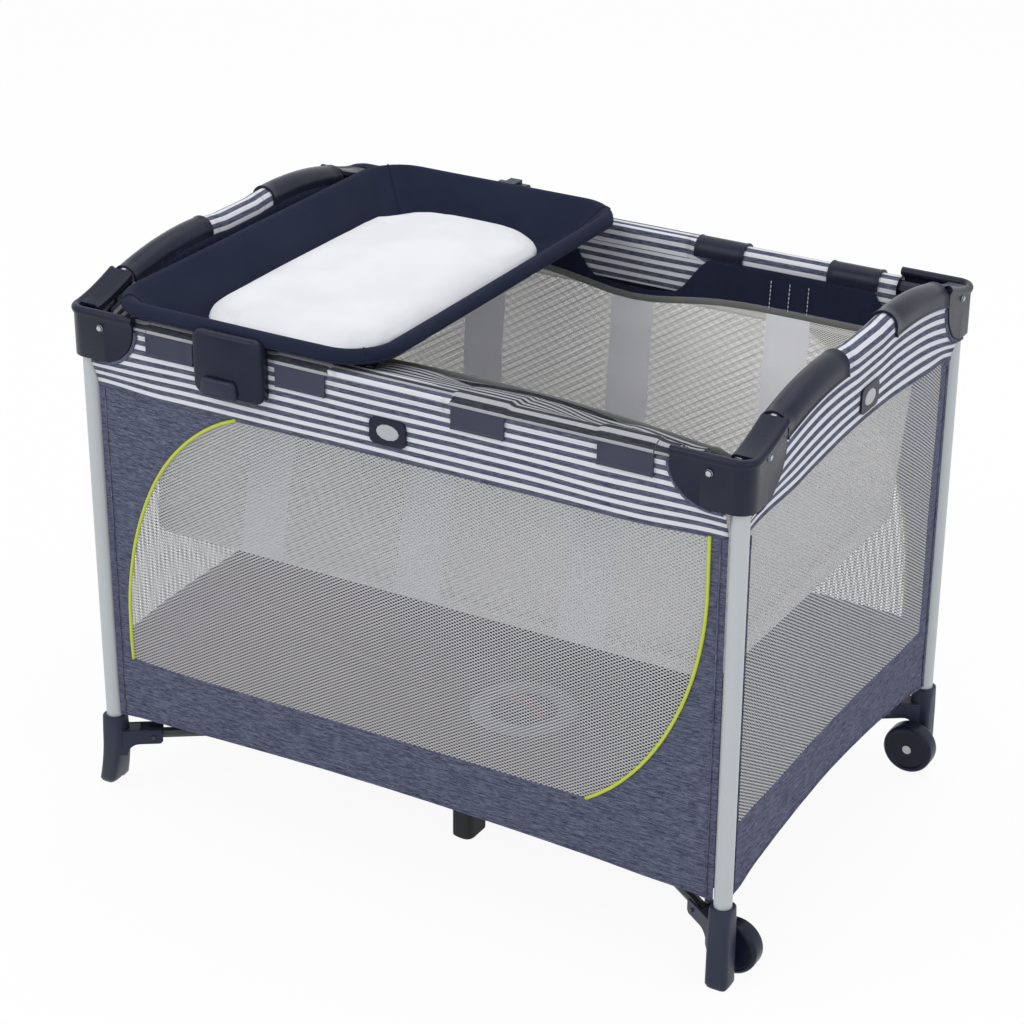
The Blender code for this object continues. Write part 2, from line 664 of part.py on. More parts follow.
def make_floor_leg(corner):
    start, end = FOOT_PIVOT - LEG_END, DIAGONAL - HUB_PIVOT + LEG_END
    pivot = corner.diagonal(FOOT_PIVOT, 0, LEG_HEIGHT)
    ends = [corner.diagonal(along, 0, LEG_HEIGHT) for along in (start, end)]
    tube = rod(*ends, LEG_RADIUS, TUBE_SIDES)
    leg = solid(f"floor_leg_{corner.name}", tube, "steel", pivot)
    half_pin = ARM_WIDTH / 2 + RIVET_HEIGHT
    pins = [
        corner.pin(FOOT_PIVOT, half_pin, LEG_HEIGHT, PIN_RADIUS),
        corner.pin(DIAGONAL - HUB_PIVOT, LEG_SLOT + PIN_RADIUS, LEG_HEIGHT, PIN_RADIUS),
    ]
    return reshape(leg, pins)


def make_rail(side, half):
    """A half rail with its two pivot pins: half is -1 or 1 along the side."""
    ends = (side.cap_pivot + RAIL_END, side.lock_pivot - RAIL_END)
    count = 2 if side.long else RAIL_STATIONS
    path = [side.point(half * s, 0, side.rail_height(s)) for s in spread(*ends, count)]
    which = side.halves[0 if half < 0 else 1]
    cap_point = side.point(half * side.cap_pivot, 0, side.pivot_height)
    lock_point = side.point(half * side.lock_pivot, 0, side.pivot_height)
    # The half that the fixed corner carries turns about its cap, and the other about its lock
    chained = half > 0 and side.name != "right"
    origin = lock_point if chained else cap_point
    rail = solid(f"rail_{side.name}_{which}", tube_along(path, RAIL_RADIUS), "steel", origin)
    face = CAP_OFFSET + SEAT_GAP
    pins = [
        side.pin(half * side.cap_pivot, (0, face + RIVET_HEIGHT), side.pivot_height, PIN_RADIUS),
        side.pin(half * side.cap_pivot, (face, face + RIVET_HEIGHT), side.pivot_height, RIVET_RADIUS),
        side.pin(half * side.lock_pivot, (-LOCK_HALF_DEPTH, LOCK_HALF_DEPTH), side.pivot_height, PIN_RADIUS),
    ]
    if not side.long:
        pins.append(rail_knuckle(side, half))
    return reshape(rail, pins)


def rail_knuckle(side, half):
    """The plate that drops from an arched rail's end to its lock pivot."""
    places = sorted((half * (side.lock_pivot - RAIL_END), half * (side.lock_pivot + RAIL_END)))
    heights = (side.pivot_height - RAIL_END, side.rail_height(side.lock_pivot))
    return side.block(places, (-RAIL_RADIUS / 2, RAIL_RADIUS / 2), heights)


def oval(side, centre_height, half_width, half_height, n, sides=ROUND_SIDES):
    turns = [2 * math.pi * i / sides for i in range(sides)]
    return [
        side.point(half_width * math.cos(a), n, centre_height + half_height * math.sin(a)) for a in turns
    ]


def make_lock(side):
    half_length = side.lock_pivot + LOCK_END
    body = side.block(
        (-half_length, half_length), (-LOCK_HALF_DEPTH, LOCK_HALF_DEPTH),
        (side.lock_bottom, side.pivot_height + LOCK_TOP))
    lock = solid(f"lock_{side.name}", body, "navy_plastic", side.point(-side.lock_pivot, 0, side.pivot_height))
    face = LOCK_HALF_DEPTH + BEZEL_PROUD
    middle = side.button_height
    plate = rounded_rectangle((0, middle), (BEZEL_HALF_WIDTH, BEZEL_HALF_HEIGHT), BEZEL_CORNER, 0)
    bezel = loft([[side.point(p.x, n, p.y) for p in plate] for n in (0.0, face)])
    slot_half = RAIL_RADIUS + 2 * SEAT_GAP
    slot = side.block(
        (-2 * half_length, 2 * half_length), (-slot_half, slot_half),
        (side.pivot_height - LOCK_SLOT, side.pivot_height + 2 * LOCK_TOP + RAIL_ARCH))
    depth = BUTTON_THICKNESS + BUTTON_TRAVEL
    clear = [size + SEAT_GAP for size in (BUTTON_HALF_WIDTH, BUTTON_HALF_HEIGHT)]
    pocket = loft([oval(side, middle, *clear, n) for n in (face - depth, face + BEZEL_PROUD)])
    reach = (-2 * LOCK_HALF_DEPTH, 2 * LOCK_HALF_DEPTH)
    holes = [side.pin(s * side.lock_pivot, reach, side.pivot_height, PIN_HOLE) for s in (-1, 1)]
    return reshape(lock, [bezel], [slot, pocket, *holes])


def make_button(side):
    front = LOCK_HALF_DEPTH + BEZEL_PROUD + BUTTON_PROUD
    loops = [
        oval(side, side.button_height, share * BUTTON_HALF_WIDTH, share * BUTTON_HALF_HEIGHT, front - depth)
        for share, depth in ((1.0, BUTTON_THICKNESS), *BUTTON_FACE)
    ]
    return solid(f"button_{side.name}", loft(loops), "grey_button", side.point(0, front, side.button_height))


def wall_outline(side, s):
    """A wall's section: a sleeve over the rail and a panel hanging from its outer side."""
    rail = side.rail_height(s)
    outer, inner = FABRIC_PLANE + FABRIC / 2, FABRIC_PLANE - FABRIC / 2
    hem, plumb = side.hem_height(s), rail - SLEEVE_DROP
    outline = [(outer, hem), (outer, plumb)]
    outline += arc(SLEEVE_OUTER, rail, 0, SLEEVE_WRAP)
    outline += arc(SLEEVE_INNER, rail, SLEEVE_WRAP, 0)
    return outline + [(inner, plumb), (inner, hem)]


def make_wall(side):
    end = side.half_span - POST_RADIUS - WALL_END_GAP
    sections = [(s, wall_outline(side, s)) for s in spread(-end, end, WALL_STATIONS)]
    wall = solid(f"wall_{side.name}", side.swept(sections), "denim")
    top = side.pivot_height + RAIL_ARCH + SLEEVE_DROP
    depth = (-2 * SLEEVE_OUTER, 2 * SLEEVE_OUTER)
    lock_reach = side.lock_pivot + LOCK_END + WALL_CUT_GAP
    cuts = [side.block((-lock_reach, lock_reach), depth, (side.lock_bottom - WALL_CUT_GAP, top))]
    for half in (-1, 1):
        places = sorted((half * (side.cap_tip - WALL_CUT_GAP), half * side.half_span))
        cuts.append(side.block(places, depth, (socket_bottom() - WALL_CUT_GAP, top)))
    return reshape(wall, cut=cuts)


def socket_bottom():
    return POST_TOP + SEAT_GAP + SOCKET_ROOF - SOCKET_DEPTH


def make_floor_panel():
    """A slack floor: it meets the walls just above their hems and dips to the hub."""
    front, left = Side("front"), Side("left")
    half_x = HALF_LENGTH - FLOOR_EDGE_GAP
    half_y = HALF_WIDTH - FLOOR_EDGE_GAP
    middle = HUB_TOP + SEAT_GAP

    def height(x, y):
        along_x, along_y = abs(x / half_x) ** 3, abs(y / half_y) ** 3
        edge_y = front.hem_height(x) + FLOOR_ABOVE_HEM - middle
        edge_x = left.hem_height(y) + FLOOR_ABOVE_HEM - middle
        corner = HEM_CORNER + FLOOR_ABOVE_HEM - middle
        return middle + edge_y * along_y + edge_x * along_x - corner * along_x * along_y

    mesh = bmesh.new()
    layers = []
    for rise in (0.0, FABRIC):
        rows = []
        for y in spread(-half_y, half_y, FLOOR_CELLS + 1):
            row = [Vector((x, y, height(x, y) + rise)) for x in spread(-half_x, half_x, FLOOR_CELLS + 1)]
            rows.append([mesh.verts.new(p) for p in row])
        layers.append(rows)
        for lower, upper in zip(rows, rows[1:]):
            for i in range(FLOOR_CELLS):
                mesh.faces.new((lower[i], lower[i + 1], upper[i + 1], upper[i]))
    rims = [
        rows[0][:-1] + [row[-1] for row in rows[:-1]] + rows[-1][:0:-1] + [row[0] for row in rows[:0:-1]]
        for rows in layers
    ]
    for i in range(len(rims[0])):
        j = (i + 1) % len(rims[0])
        mesh.faces.new((rims[0][i], rims[0][j], rims[1][j], rims[1][i]))
    panel = solid("floor_panel", mesh, "dark_cloth")
    up = Vector((0, 0, FOOT_SOCKET_TOP + HEM_CORNER))
    cuts = [rod((0, 0, 0), up, FLOOR_HOLE, HUB_SIDES)]
    for name in CORNERS:
        post = Corner(name).point(0, 0, 0)
        cuts.append(rod(post, post + up, SOCKET_RADIUS + WALL_END_GAP))
    return reshape(panel, cut=cuts)


def make_hub():
    up = Vector((0, 0, 1))
    core = rod(up * (LEG_HEIGHT - HUB_SKIRT), up * HUB_TOP, HUB_RADIUS, HUB_SIDES)
    corner = Corner("front_left")
    hub = solid("floor_hub", core, "navy_plastic", corner.diagonal(DIAGONAL - HUB_PIVOT, 0, LEG_HEIGHT))
    roof = LEG_HEIGHT + HUB_CLEAR
    floor = LEG_HEIGHT - 2 * HUB_SKIRT
    sweep = math.hypot(LEG_END, LEG_RADIUS) + 2 * SEAT_GAP
    cuts = []
    for name in CORNERS:
        corner = Corner(name)
        inner = DIAGONAL - HUB_PIVOT + sweep
        cuts.append(corner.beam((DIAGONAL - 2 * HUB_RADIUS, inner), LEG_SLOT, (floor, roof)))
        pin_half = LEG_SLOT + PIN_RADIUS + SEAT_GAP
        cuts.append(corner.pin(DIAGONAL - HUB_PIVOT, pin_half, LEG_HEIGHT, PIN_HOLE))
    for sign in (-1, 1):
        x = -sign * SIDE_LEG_OFFSET
        half_slot = SIDE_LEG_RADIUS + SEAT_GAP
        places = sorted((sign * (SIDE_LEG_PIVOT - sweep), sign * 2 * HUB_RADIUS))
        cuts.append(box((x - half_slot, places[0], floor), (x + half_slot, places[1], roof)))
        reach = half_slot + PIN_RADIUS + SEAT_GAP
        y = sign * SIDE_LEG_PIVOT
        cuts.append(rod((x - reach, y, LEG_HEIGHT), (x + reach, y, LEG_HEIGHT), PIN_HOLE, PIN_SIDES))
    return reshape(hub, cut=cuts)


def make_pull_strap():
    """A loop of webbing standing on the hub, to pull the floor up by."""
    loops = []
    for turn in spread(0, math.pi, 9):
        middle = Vector((-STRAP_SPAN / 2 * math.cos(turn), 0, STRAP_RISE * math.sin(turn)))
        outward = Vector((-math.cos(turn) * STRAP_RISE, 0, math.sin(turn) * STRAP_SPAN / 2)).normalized()
        base = Vector((0, 0, HUB_TOP + SEAT_GAP))
        loop = []
        for side, rise in ((-1, 0), (1, 0), (1, 1), (-1, 1)):
            aside = Vector((0, side * STRAP_WIDTH / 2, 0))
            loop.append(base + middle + aside + outward * rise * STRAP_THICKNESS)
        loops.append(loop)
    return solid("pull_strap", loft(loops), "red_webbing")


def make_side_leg(sign):
    """A prop from the hub to the middle of a long side, with its foot: sign is -1 at the front."""
    x = -sign * SIDE_LEG_OFFSET
    pivot = Vector((x, sign * SIDE_LEG_PIVOT, LEG_HEIGHT))
    start = Vector((x, sign * (SIDE_LEG_PIVOT - LEG_END), LEG_HEIGHT))
    end = Vector((x, sign * SIDE_LEG_REACH, LEG_HEIGHT))
    name = "front" if sign < 0 else "back"
    leg = solid(f"side_leg_{name}", rod(start, end, SIDE_LEG_RADIUS, TUBE_SIDES), "black_rubber", pivot)
    reach = SIDE_LEG_RADIUS + SEAT_GAP + PIN_RADIUS
    pin = rod(pivot - Vector((reach, 0, 0)), pivot + Vector((reach, 0, 0)), PIN_RADIUS, PIN_SIDES)
    half = (SIDE_FOOT_X / 2, SIDE_FOOT_Y / 2)
    shrunk = tuple(size - SIDE_FOOT_TAPER for size in half)
    top = LEG_HEIGHT + SIDE_LEG_RADIUS
    shape = ((shrunk, 0.0), (half, SIDE_FOOT_TAPER), (half, top - SIDE_FOOT_TAPER), (shrunk, top))
    loops = [
        rounded_rectangle((end.x, end.y), size, SIDE_FOOT_CORNER, height, 4) for size, height in shape
    ]
    return reshape(leg, [pin, loft(loops)])


def strip_outline(side, s):
    top = side.rail_height(s)
    outer, inner = -STRIP_OUTER, -STRIP_OUTER - STRIP_THICKNESS
    return [(outer, STRIP_BOTTOM), (outer, top), (inner, top), (inner, STRIP_BOTTOM)]


def clip_outline(side, s, wrap):
    """A saddle over the rail sleeve, open below."""
    rail = side.rail_height(s)
    return arc(CLIP_OUTER, rail, CLIP_START, wrap) + arc(CLIP_INNER, rail, wrap, CLIP_START)


def make_clip_strip(side):
    """The bassinet's top band on one side, with the clips that hook it over the rail."""
    end = side.half_span - (LONG_STRIP_END if side.long else SHORT_STRIP_END)
    sections = [(s, strip_outline(side, s)) for s in spread(-end, end, STRIP_STATIONS)]
    strip = solid(f"clip_strip_{side.name}", side.swept(sections), "navy_cloth")
    centres = LONG_CLIP_CENTRES if side.long else (SHORT_CLIP_CENTRE,)
    length = LONG_CLIP_LENGTH if side.long else SHORT_CLIP_LENGTH
    clips = []
    for half in (-1, 1):
        for centre in centres:
            places = spread(half * centre - length / 2, half * centre + length / 2, 2 if side.long else 6)
            clips.append(side.swept([(s, clip_outline(side, s, CLIP_WRAP)) for s in places]))
    return reshape(strip, clips)


def make_bassinet():
    """A mesh-walled basket: outer face up, over its top edge, and down the inner face."""
    inset = STRIP_OUTER + STRIP_THICKNESS + SEAT_GAP
    outer = (HALF_LENGTH - inset, HALF_WIDTH - inset)
    wall, floor = BASKET_WALL, BASKET_BOTTOM + BASKET_WALL
    shape = (
        (BASKET_TAPER, BASKET_BOTTOM), (0, STRIP_BOTTOM), (0, BASKET_TOP),
        (wall, BASKET_TOP), (wall, STRIP_BOTTOM), (BASKET_TAPER + wall, floor),
    )
    loops = [
        rounded_rectangle((0, 0), (outer[0] - d, outer[1] - d), BASKET_CORNER - d / 2, z) for d, z in shape
    ]
    return solid("bassinet", loft(loops), "bassinet_mesh")


def crowned_pad(name, colour, centre, half, corner, base, thickness):
    """A sewn pad: full corners, sides drawn in between them, and a crowned top."""
    loops = []
    for inset, rise in PAD_PROFILE:
        size = (half[0] - inset, half[1] - inset)
        loop = rounded_rectangle(centre, size, corner, base + rise * thickness)
        for point in loop:
            x, y = (point.x - centre[0]) / size[0], (point.y - centre[1]) / size[1]
            point.x -= PAD_DRAW * x * (1 - y * y)
            point.y -= PAD_DRAW * y * (1 - x * x)
        loops.append(loop)
    return solid(name, loft(loops), colour)


def make_mattress():
    inset = STRIP_OUTER + STRIP_THICKNESS + SEAT_GAP + BASKET_WALL + BASKET_TAPER + MATTRESS_MARGIN
    half = (HALF_LENGTH - inset, HALF_WIDTH - inset)
    base = BASKET_BOTTOM + BASKET_WALL + SEAT_GAP
    return crowned_pad(
        "bassinet_mattress", "mattress_cloth", (0, 0), half, MATTRESS_CORNER, base, MATTRESS_THICKNESS)


def changer_centre():
    return ((CHANGER_LEFT + CHANGER_RIGHT) / 2, (CHANGER_FRONT + CHANGER_BACK) / 2)


def changer_half(inset):
    return (
        (CHANGER_RIGHT - CHANGER_LEFT) / 2 - inset,
        (CHANGER_BACK - CHANGER_FRONT) / 2 - inset,
    )


def changer_pivot():
    return Vector((BRACKET_CENTRE, HALF_WIDTH + HINGE_OUT, HINGE_HEIGHT))


def arm_heights():
    """Lower and upper side of the changer's hinge arms."""
    return HINGE_HEIGHT - HINGE_ARM_BELOW, HINGE_HEIGHT + HINGE_ARM_ABOVE


def make_changer_frame():
    """A tube bent into a closed loop, with the two hinge arms and the pin at its back."""
    loops = []
    for turn in (math.pi * i / 4 for i in range(8)):
        out, up = CHANGER_TUBE * math.cos(turn), CHANGER_TUBE * math.sin(turn)
        loops.append(rounded_rectangle(
            changer_centre(), changer_half(-out), CHANGER_CORNER + out, CHANGER_HEIGHT + up))
    frame = solid("changer_frame", loft(loops, closed=True), "steel", changer_pivot())
    inner = HINGE_LUG / 2 + SEAT_GAP
    back = HALF_WIDTH + HINGE_OUT + HINGE_LUG_END
    bottom, top = arm_heights()
    arms = []
    for sign in (-1, 1):
        places = sorted((BRACKET_CENTRE + sign * inner, BRACKET_CENTRE + sign * (inner + HINGE_ARM)))
        arms.append(box((places[0], CHANGER_BACK, bottom), (places[1], back, top)))
    half_pin = Vector((inner + HINGE_ARM / 2, 0, 0))
    pin = rod(changer_pivot() - half_pin, changer_pivot() + half_pin, PIN_RADIUS, PIN_SIDES)
    return reshape(frame, [*arms, pin])


def make_changer_cover():
    """A sunken fabric tray whose edge wraps over the frame tube."""
    inner = CHANGER_TUBE + SEAT_GAP
    outer = inner + COVER_THICKNESS
    floor_top = CHANGER_HEIGHT - COVER_DEPTH
    shape = [(-COVER_SLOPE, floor_top - COVER_FLOOR), (-outer, CHANGER_HEIGHT - COVER_FLOOR)]
    turns = [math.pi * (1 - i / 4) for i in range(5)]
    shape += [(inner * math.cos(a), CHANGER_HEIGHT + inner * math.sin(a)) for a in turns]
    skirt = CHANGER_HEIGHT - CHANGER_TUBE
    shape += [(inner, skirt), (outer, skirt)]
    shape += [(outer * math.cos(a), CHANGER_HEIGHT + outer * math.sin(a)) for a in reversed(turns[1:])]
    shape += [(-outer - COVER_THICKNESS, CHANGER_HEIGHT), (-COVER_SLOPE, floor_top)]
    loops = []
    for out, height in shape:
        corner = COVER_FLOOR_CORNER if out == -COVER_SLOPE else CHANGER_CORNER + out
        loops.append(rounded_rectangle(changer_centre(), changer_half(-out), corner, height))
    cover = solid("changer_cover", loft(loops), "navy_cloth", changer_pivot())
    reach = HINGE_LUG / 2 + HINGE_ARM + WALL_CUT_GAP
    bottom, top = arm_heights()
    notch = box(
        (BRACKET_CENTRE - reach, CHANGER_BACK - outer - 2 * COVER_THICKNESS, bottom - COVER_FLOOR),
        (BRACKET_CENTRE + reach, CHANGER_BACK + 2 * outer, top + COVER_DEPTH))
    return reshape(cover, cut=[notch])


def make_changer_pad():
    half = changer_half(COVER_SLOPE + PAD_MARGIN)
    base = CHANGER_HEIGHT - COVER_DEPTH + SEAT_GAP
    return crowned_pad(
        "changer_pad", "white_cloth", changer_centre(), half, COVER_FLOOR_CORNER, base, PAD_THICKNESS)


def bracket_face():
    """Y of the latch bracket's outer face."""
    return CHANGER_FRONT - CHANGER_TUBE - 2 * SEAT_GAP - COVER_THICKNESS - BRACKET_WALL - COVER_FLOOR


def make_latch_bracket():
    """The bracket that hooks the changer's front edge over the front rail."""
    low, high = BRACKET_CENTRE - BRACKET_LENGTH / 2, BRACKET_CENTRE + BRACKET_LENGTH / 2
    face = bracket_face()
    shelf_top = CHANGER_HEIGHT - CHANGER_TUBE - SEAT_GAP
    outline = (
        (face, BRACKET_BOTTOM), (face + BRACKET_WALL, BRACKET_BOTTOM),
        (face + BRACKET_WALL, shelf_top - BRACKET_SHELF), (-HALF_WIDTH, shelf_top - BRACKET_SHELF),
        (-HALF_WIDTH, shelf_top), (face + BRACKET_WALL, shelf_top),
        (face + BRACKET_WALL, BRACKET_TOP), (face, BRACKET_TOP),
    )
    mesh = loft([[Vector((x, y, z)) for y, z in outline] for x in (low, high)])
    bracket = solid("changer_latch_bracket", mesh, "navy_plastic", changer_pivot())
    return bevelled(bracket, BRACKET_BEVEL)


def make_latch_tab():
    middle = BRACKET_CENTRE + TAB_SHIFT
    back = bracket_face() - TAB_GAP
    mesh = box(
        (middle - TAB_LENGTH / 2, back - TAB_THICKNESS, TAB_BOTTOM), (middle + TAB_LENGTH / 2, back, TAB_TOP))
    tab = solid("changer_latch_tab", mesh, "navy_plastic", (middle, back - TAB_THICKNESS / 2, TAB_TOP))
    return bevelled(tab, TAB_BEVEL)


def make_hinge_bracket():
    """The saddle on the back rail that carries the changer's pivot."""
    side = Side("back")
    ends = (BRACKET_CENTRE - HINGE_SADDLE / 2, BRACKET_CENTRE + HINGE_SADDLE / 2)
    mesh = side.swept([(s, clip_outline(side, s, HINGE_WRAP)) for s in ends])
    bracket = solid("changer_hinge_bracket", mesh, "navy_plastic")
    places = (BRACKET_CENTRE - HINGE_LUG / 2, BRACKET_CENTRE + HINGE_LUG / 2)
    lug = side.block(
        places, (SLEEVE_OUTER + COVER_THICKNESS, HINGE_OUT + HINGE_LUG_END),
        (LONG_PIVOT_HEIGHT + HINGE_LUG_RISE, HINGE_HEIGHT + HINGE_LUG_END))
    hole_half = Vector((HINGE_LUG, 0, 0))
    hole = rod(changer_pivot() - hole_half, changer_pivot() + hole_half, PIN_HOLE, PIN_SIDES)
    return reshape(bracket, [lug], [hole])


def main():
    clear_scene()
    for name, (sx, _) in CORNERS.items():
        corner = Corner(name)
        make_post(corner)
        make_cap(corner)
        make_foot(corner, wheeled=sx > 0)
        make_floor_leg(corner)
        if sx > 0:
            make_wheel(corner)
            make_axle(corner)
    for name in SIDES:
        side = Side(name)
        for half in (-1, 1):
            make_rail(side, half)
        make_lock(side)
        make_button(side)
        make_wall(side)
        make_clip_strip(side)
    make_floor_panel()
    make_hub()
    make_pull_strap()
    for sign in (-1, 1):
        make_side_leg(sign)
    make_bassinet()
    make_mattress()
    make_changer_frame()
    make_changer_cover()
    make_changer_pad()
    make_latch_bracket()
    make_latch_tab()
    make_hinge_bracket()


main()
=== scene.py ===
"""Looks of the travel play yard: finishes, fabric walls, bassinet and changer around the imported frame.

Metres, in the frame's axes: +X along the long sides, -Y the front, +Z up.
"""

import json
import math

import bmesh
import bpy
from mathutils import Matrix, Vector, noise


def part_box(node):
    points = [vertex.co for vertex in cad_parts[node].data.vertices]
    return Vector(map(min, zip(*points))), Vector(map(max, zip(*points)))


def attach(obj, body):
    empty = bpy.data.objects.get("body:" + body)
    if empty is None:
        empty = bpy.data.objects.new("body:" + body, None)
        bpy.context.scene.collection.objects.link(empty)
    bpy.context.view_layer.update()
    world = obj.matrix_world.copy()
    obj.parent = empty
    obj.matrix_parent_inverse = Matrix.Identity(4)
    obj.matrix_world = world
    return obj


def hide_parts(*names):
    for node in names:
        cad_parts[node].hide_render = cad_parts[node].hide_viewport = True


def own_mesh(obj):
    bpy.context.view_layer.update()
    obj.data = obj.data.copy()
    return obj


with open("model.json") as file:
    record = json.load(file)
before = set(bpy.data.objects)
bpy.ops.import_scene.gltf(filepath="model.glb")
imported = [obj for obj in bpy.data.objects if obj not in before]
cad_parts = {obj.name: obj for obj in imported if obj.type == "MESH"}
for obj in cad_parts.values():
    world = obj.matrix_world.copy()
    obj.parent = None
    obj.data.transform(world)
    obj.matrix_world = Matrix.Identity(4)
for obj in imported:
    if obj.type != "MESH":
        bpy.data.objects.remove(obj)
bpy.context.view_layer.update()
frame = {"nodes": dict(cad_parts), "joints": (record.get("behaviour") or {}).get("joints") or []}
NODES = frame["nodes"]
JOINTS = {joint["name"]: joint for joint in frame["joints"]}


def middle(node):
    low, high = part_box(node)
    return (low + high) / 2


COVER_OVER_TUBE = 0.011  # changer's tube axis to the outside of its cover

# Sizes read from the frame
HALF_LENGTH = middle("post_front_right").x
HALF_WIDTH = -middle("post_front_right").y
POST_LOW, POST_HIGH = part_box("post_front_right")
POST_RADIUS = (POST_HIGH.x - POST_LOW.x) / 2
LONG_RAIL = JOINTS["fold"]["pos_m"][2]
SHORT_PIVOT = JOINTS["left_rail_front_turn"]["pos_m"][2]
LONG_CAP_PIVOT = -JOINTS["fold"]["pos_m"][0]
SHORT_CAP_PIVOT = -JOINTS["left_rail_front_turn"]["pos_m"][1]
SHORT_LOCK_PIVOT = -JOINTS["left_lock_turn"]["pos_m"][1]
LONG_LOCK_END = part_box("lock_front")[1].x
SHORT_LOCK_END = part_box("lock_left")[1].y
CAP_LOW, CAP_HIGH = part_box("cap_front_right")
LONG_CAP_TIP = CAP_LOW.x
SHORT_CAP_TIP = -CAP_HIGH.y
CAP_BOTTOM = CAP_LOW.z
LEG_HEIGHT = JOINTS["floor_leg_front_right_turn"]["pos_m"][2]
BASKET_LOW, BASKET_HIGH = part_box("bassinet")
HUB_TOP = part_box("floor_hub")[1].z
COVER_LOW, COVER_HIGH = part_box("changer_cover")
CHANGER_CENTRE = ((COVER_LOW.x + COVER_HIGH.x) / 2, (COVER_LOW.y + COVER_HIGH.y) / 2)
CHANGER_HALF = tuple((COVER_HIGH[i] - COVER_LOW[i]) / 2 - COVER_OVER_TUBE for i in (0, 1))
CHANGER_HEIGHT = COVER_HIGH.z - COVER_OVER_TUBE

# Arch of the fabric over the short sides' rails
RAIL_ARCH = 0.036
RAIL_DIP = 0.004

# Walls
CLOTH = 0.0012  # thickness of most cloth
WELD = 0.0002  # points nearer than this are joined
POST_GAP = 0.0008  # post to the edge of a wall
PANEL_OUT = 0.0035  # post axis plane to the wall fabric
PANEL_LEAN = 0.0125  # further out at the band, away from the posts
PANEL_PULL = 0.0022  # depth of the pulls in the lower corners
PANEL_SLACK = (0.0016, 0.0006)  # depth of the broad and the fine waves
WINDOW_LOW = 0.230
WINDOW_LEFT = -0.456
WINDOW_RIGHT = 0.462
WINDOW_SWEEP = 0.284  # half width of the window's round corners
WINDOW_RISE = 0.385  # their half height
WINDOW_TURNS = (0.285, 0.580)  # heights where the left and the right edge start to curve
SHORT_WINDOW = (-0.322, 0.292)  # left and right edge on the short sides
SHORT_WINDOW_LOW = 0.237
SHORT_WINDOW_RISE = 0.014  # rise of its lower edge at the middle
PIPING = 0.0024
HEM_CORNER = 0.128
LONG_HEM_RISE = 0.017
SHORT_HEM_RISE = 0.038
HEM_CORD = 0.0019
SEAM = 0.0013
SEAM_INSET = 0.010  # edge of a wall to the seam beside it

# Bands and sleeves
SLEEVE = 0.0163  # rail axis to the fabric over it
SLEEVE_SEAM = 0.003  # rail axis down to where the hanging band starts
SLEEVE_TURNS = (-0.22, math.pi + 0.9)  # a sleeve's outer and inner edge round the rail
SLEEVE_PUCKER = 0.0004
LONG_SLEEVE_END = 0.416  # sleeves end at the tips of the corner caps
SHORT_SLEEVE_END = 0.267
LOCK_BLEND = 0.030  # length in which a long sleeve squares out over its lock
STRIPE_PERIOD = 0.0142
STRIPE_WAVE = 0.0028
STRIPE_START = 0.0060  # cloth coordinate at the band's lower edge
STRIPE_SPAN = 0.096  # and from there to the rail's axis
WHITE_SHARE = 0.46
BAND_LOW = 0.657
LONG_BAND_LIFT = 0.004  # rise of the band's lower edge at its middle
SHORT_BAND_LIFT = 0.044
BAND_ARCH = 0.75
BAND_SLACK = 0.0011
BAND_PROUD = 0.0005  # band in front of the panel
BAND_TUCK = 0.002  # band below the panel's upper edge
CAP_TUCK = 0.012  # band's fall under the corner caps, and the length that it takes
INNER_BAND = 0.0004 - SLEEVE  # rail axis to the inner band
INNER_DROP = 0.006  # rail axis down to its upper edge
INNER_MARGIN = 0.030  # post's axis to its end
BINDING_OUT = 0.0030  # binding's radius, and its distance from a cap's edge
BUTTON_ROOM = (0.009, 0.006)  # most that a band's opening clears its button by, beside and above it

# Bassinet
CLIP_OUTER = 0.0205
CLIP_INNER = 0.0178
CLIP_WRAP = math.radians(196)
CLIP_DROP = {"front": 0.024, "back": 0.008, "left": 0.013, "right": 0.013}  # outer flange below the axis
CLIP_LIP = 0.0012
CLIP_BEAD = 0.0022
CLIP_SWELL = 0.0009
LONG_CLIPS = ((0.0965, 0.1755), (0.3095, 0.3885))
SHORT_CLIPS = ((0.078, 0.262),)
STRIP_CENTRES = (-0.255, 0.0, 0.255)
STRIP_HALF = 0.035
STRIP_EDGES = {round(c + side * STRIP_HALF, 5) for c in STRIP_CENTRES for side in (-1, 1)}
FLAP_REACH = 0.090  # front rail's axis to the flap's inner edge, at its ends
FLAP_BOW = 0.030  # further reach at its middle
FLAP_TURNS = (math.radians(22), math.radians(105))  # where the flap meets and leaves the rail's round
FLAP_GAP = 0.0016  # sleeve to the flap over it
FLAP_SLACK = 0.0050
FLAP_SAG = 0.002
FLAP_RIPPLE = 0.0035
FLAP_LOW = 0.730
FLAP_UNDER = 0.005  # flap below the changer's tray
BACK_EDGE = 0.686
BACK_DIP = (0.022, 0.11)  # depth and half width of the dip in the back edge
SIDE_EDGE = 0.690
BASKET_INSET = 0.002
BASKET_TAPER = 0.020
BASKET_STRAIGHT = 0.41  # half length of its straight front and back
BASKET_CORNERS = (0.05, 0.04)  # plan radius at the top and at the bottom
BASKET_SLACK = 0.004
EDGE_BINDING = (0.0016, 0.0055)  # half thickness and half height
LINING_END = 0.415
SHORT_LINING_END = 0.270
LINING_OUT = -0.0195  # rail axis to the lining's upper edge
LINING_DROP = 0.006  # rail axis down to it
LINING_LEAST = 0.012  # least height of the back lining
LINING_SCOOP = 0.065
PLEAT_DEPTH = 0.0016
PLEAT_PITCH = 0.021
STITCH = 0.0042
STITCH_ROWS = (-0.03, 0.0, 0.03)
STITCH_TOP = 0.731
STITCH_THREAD = 0.0006

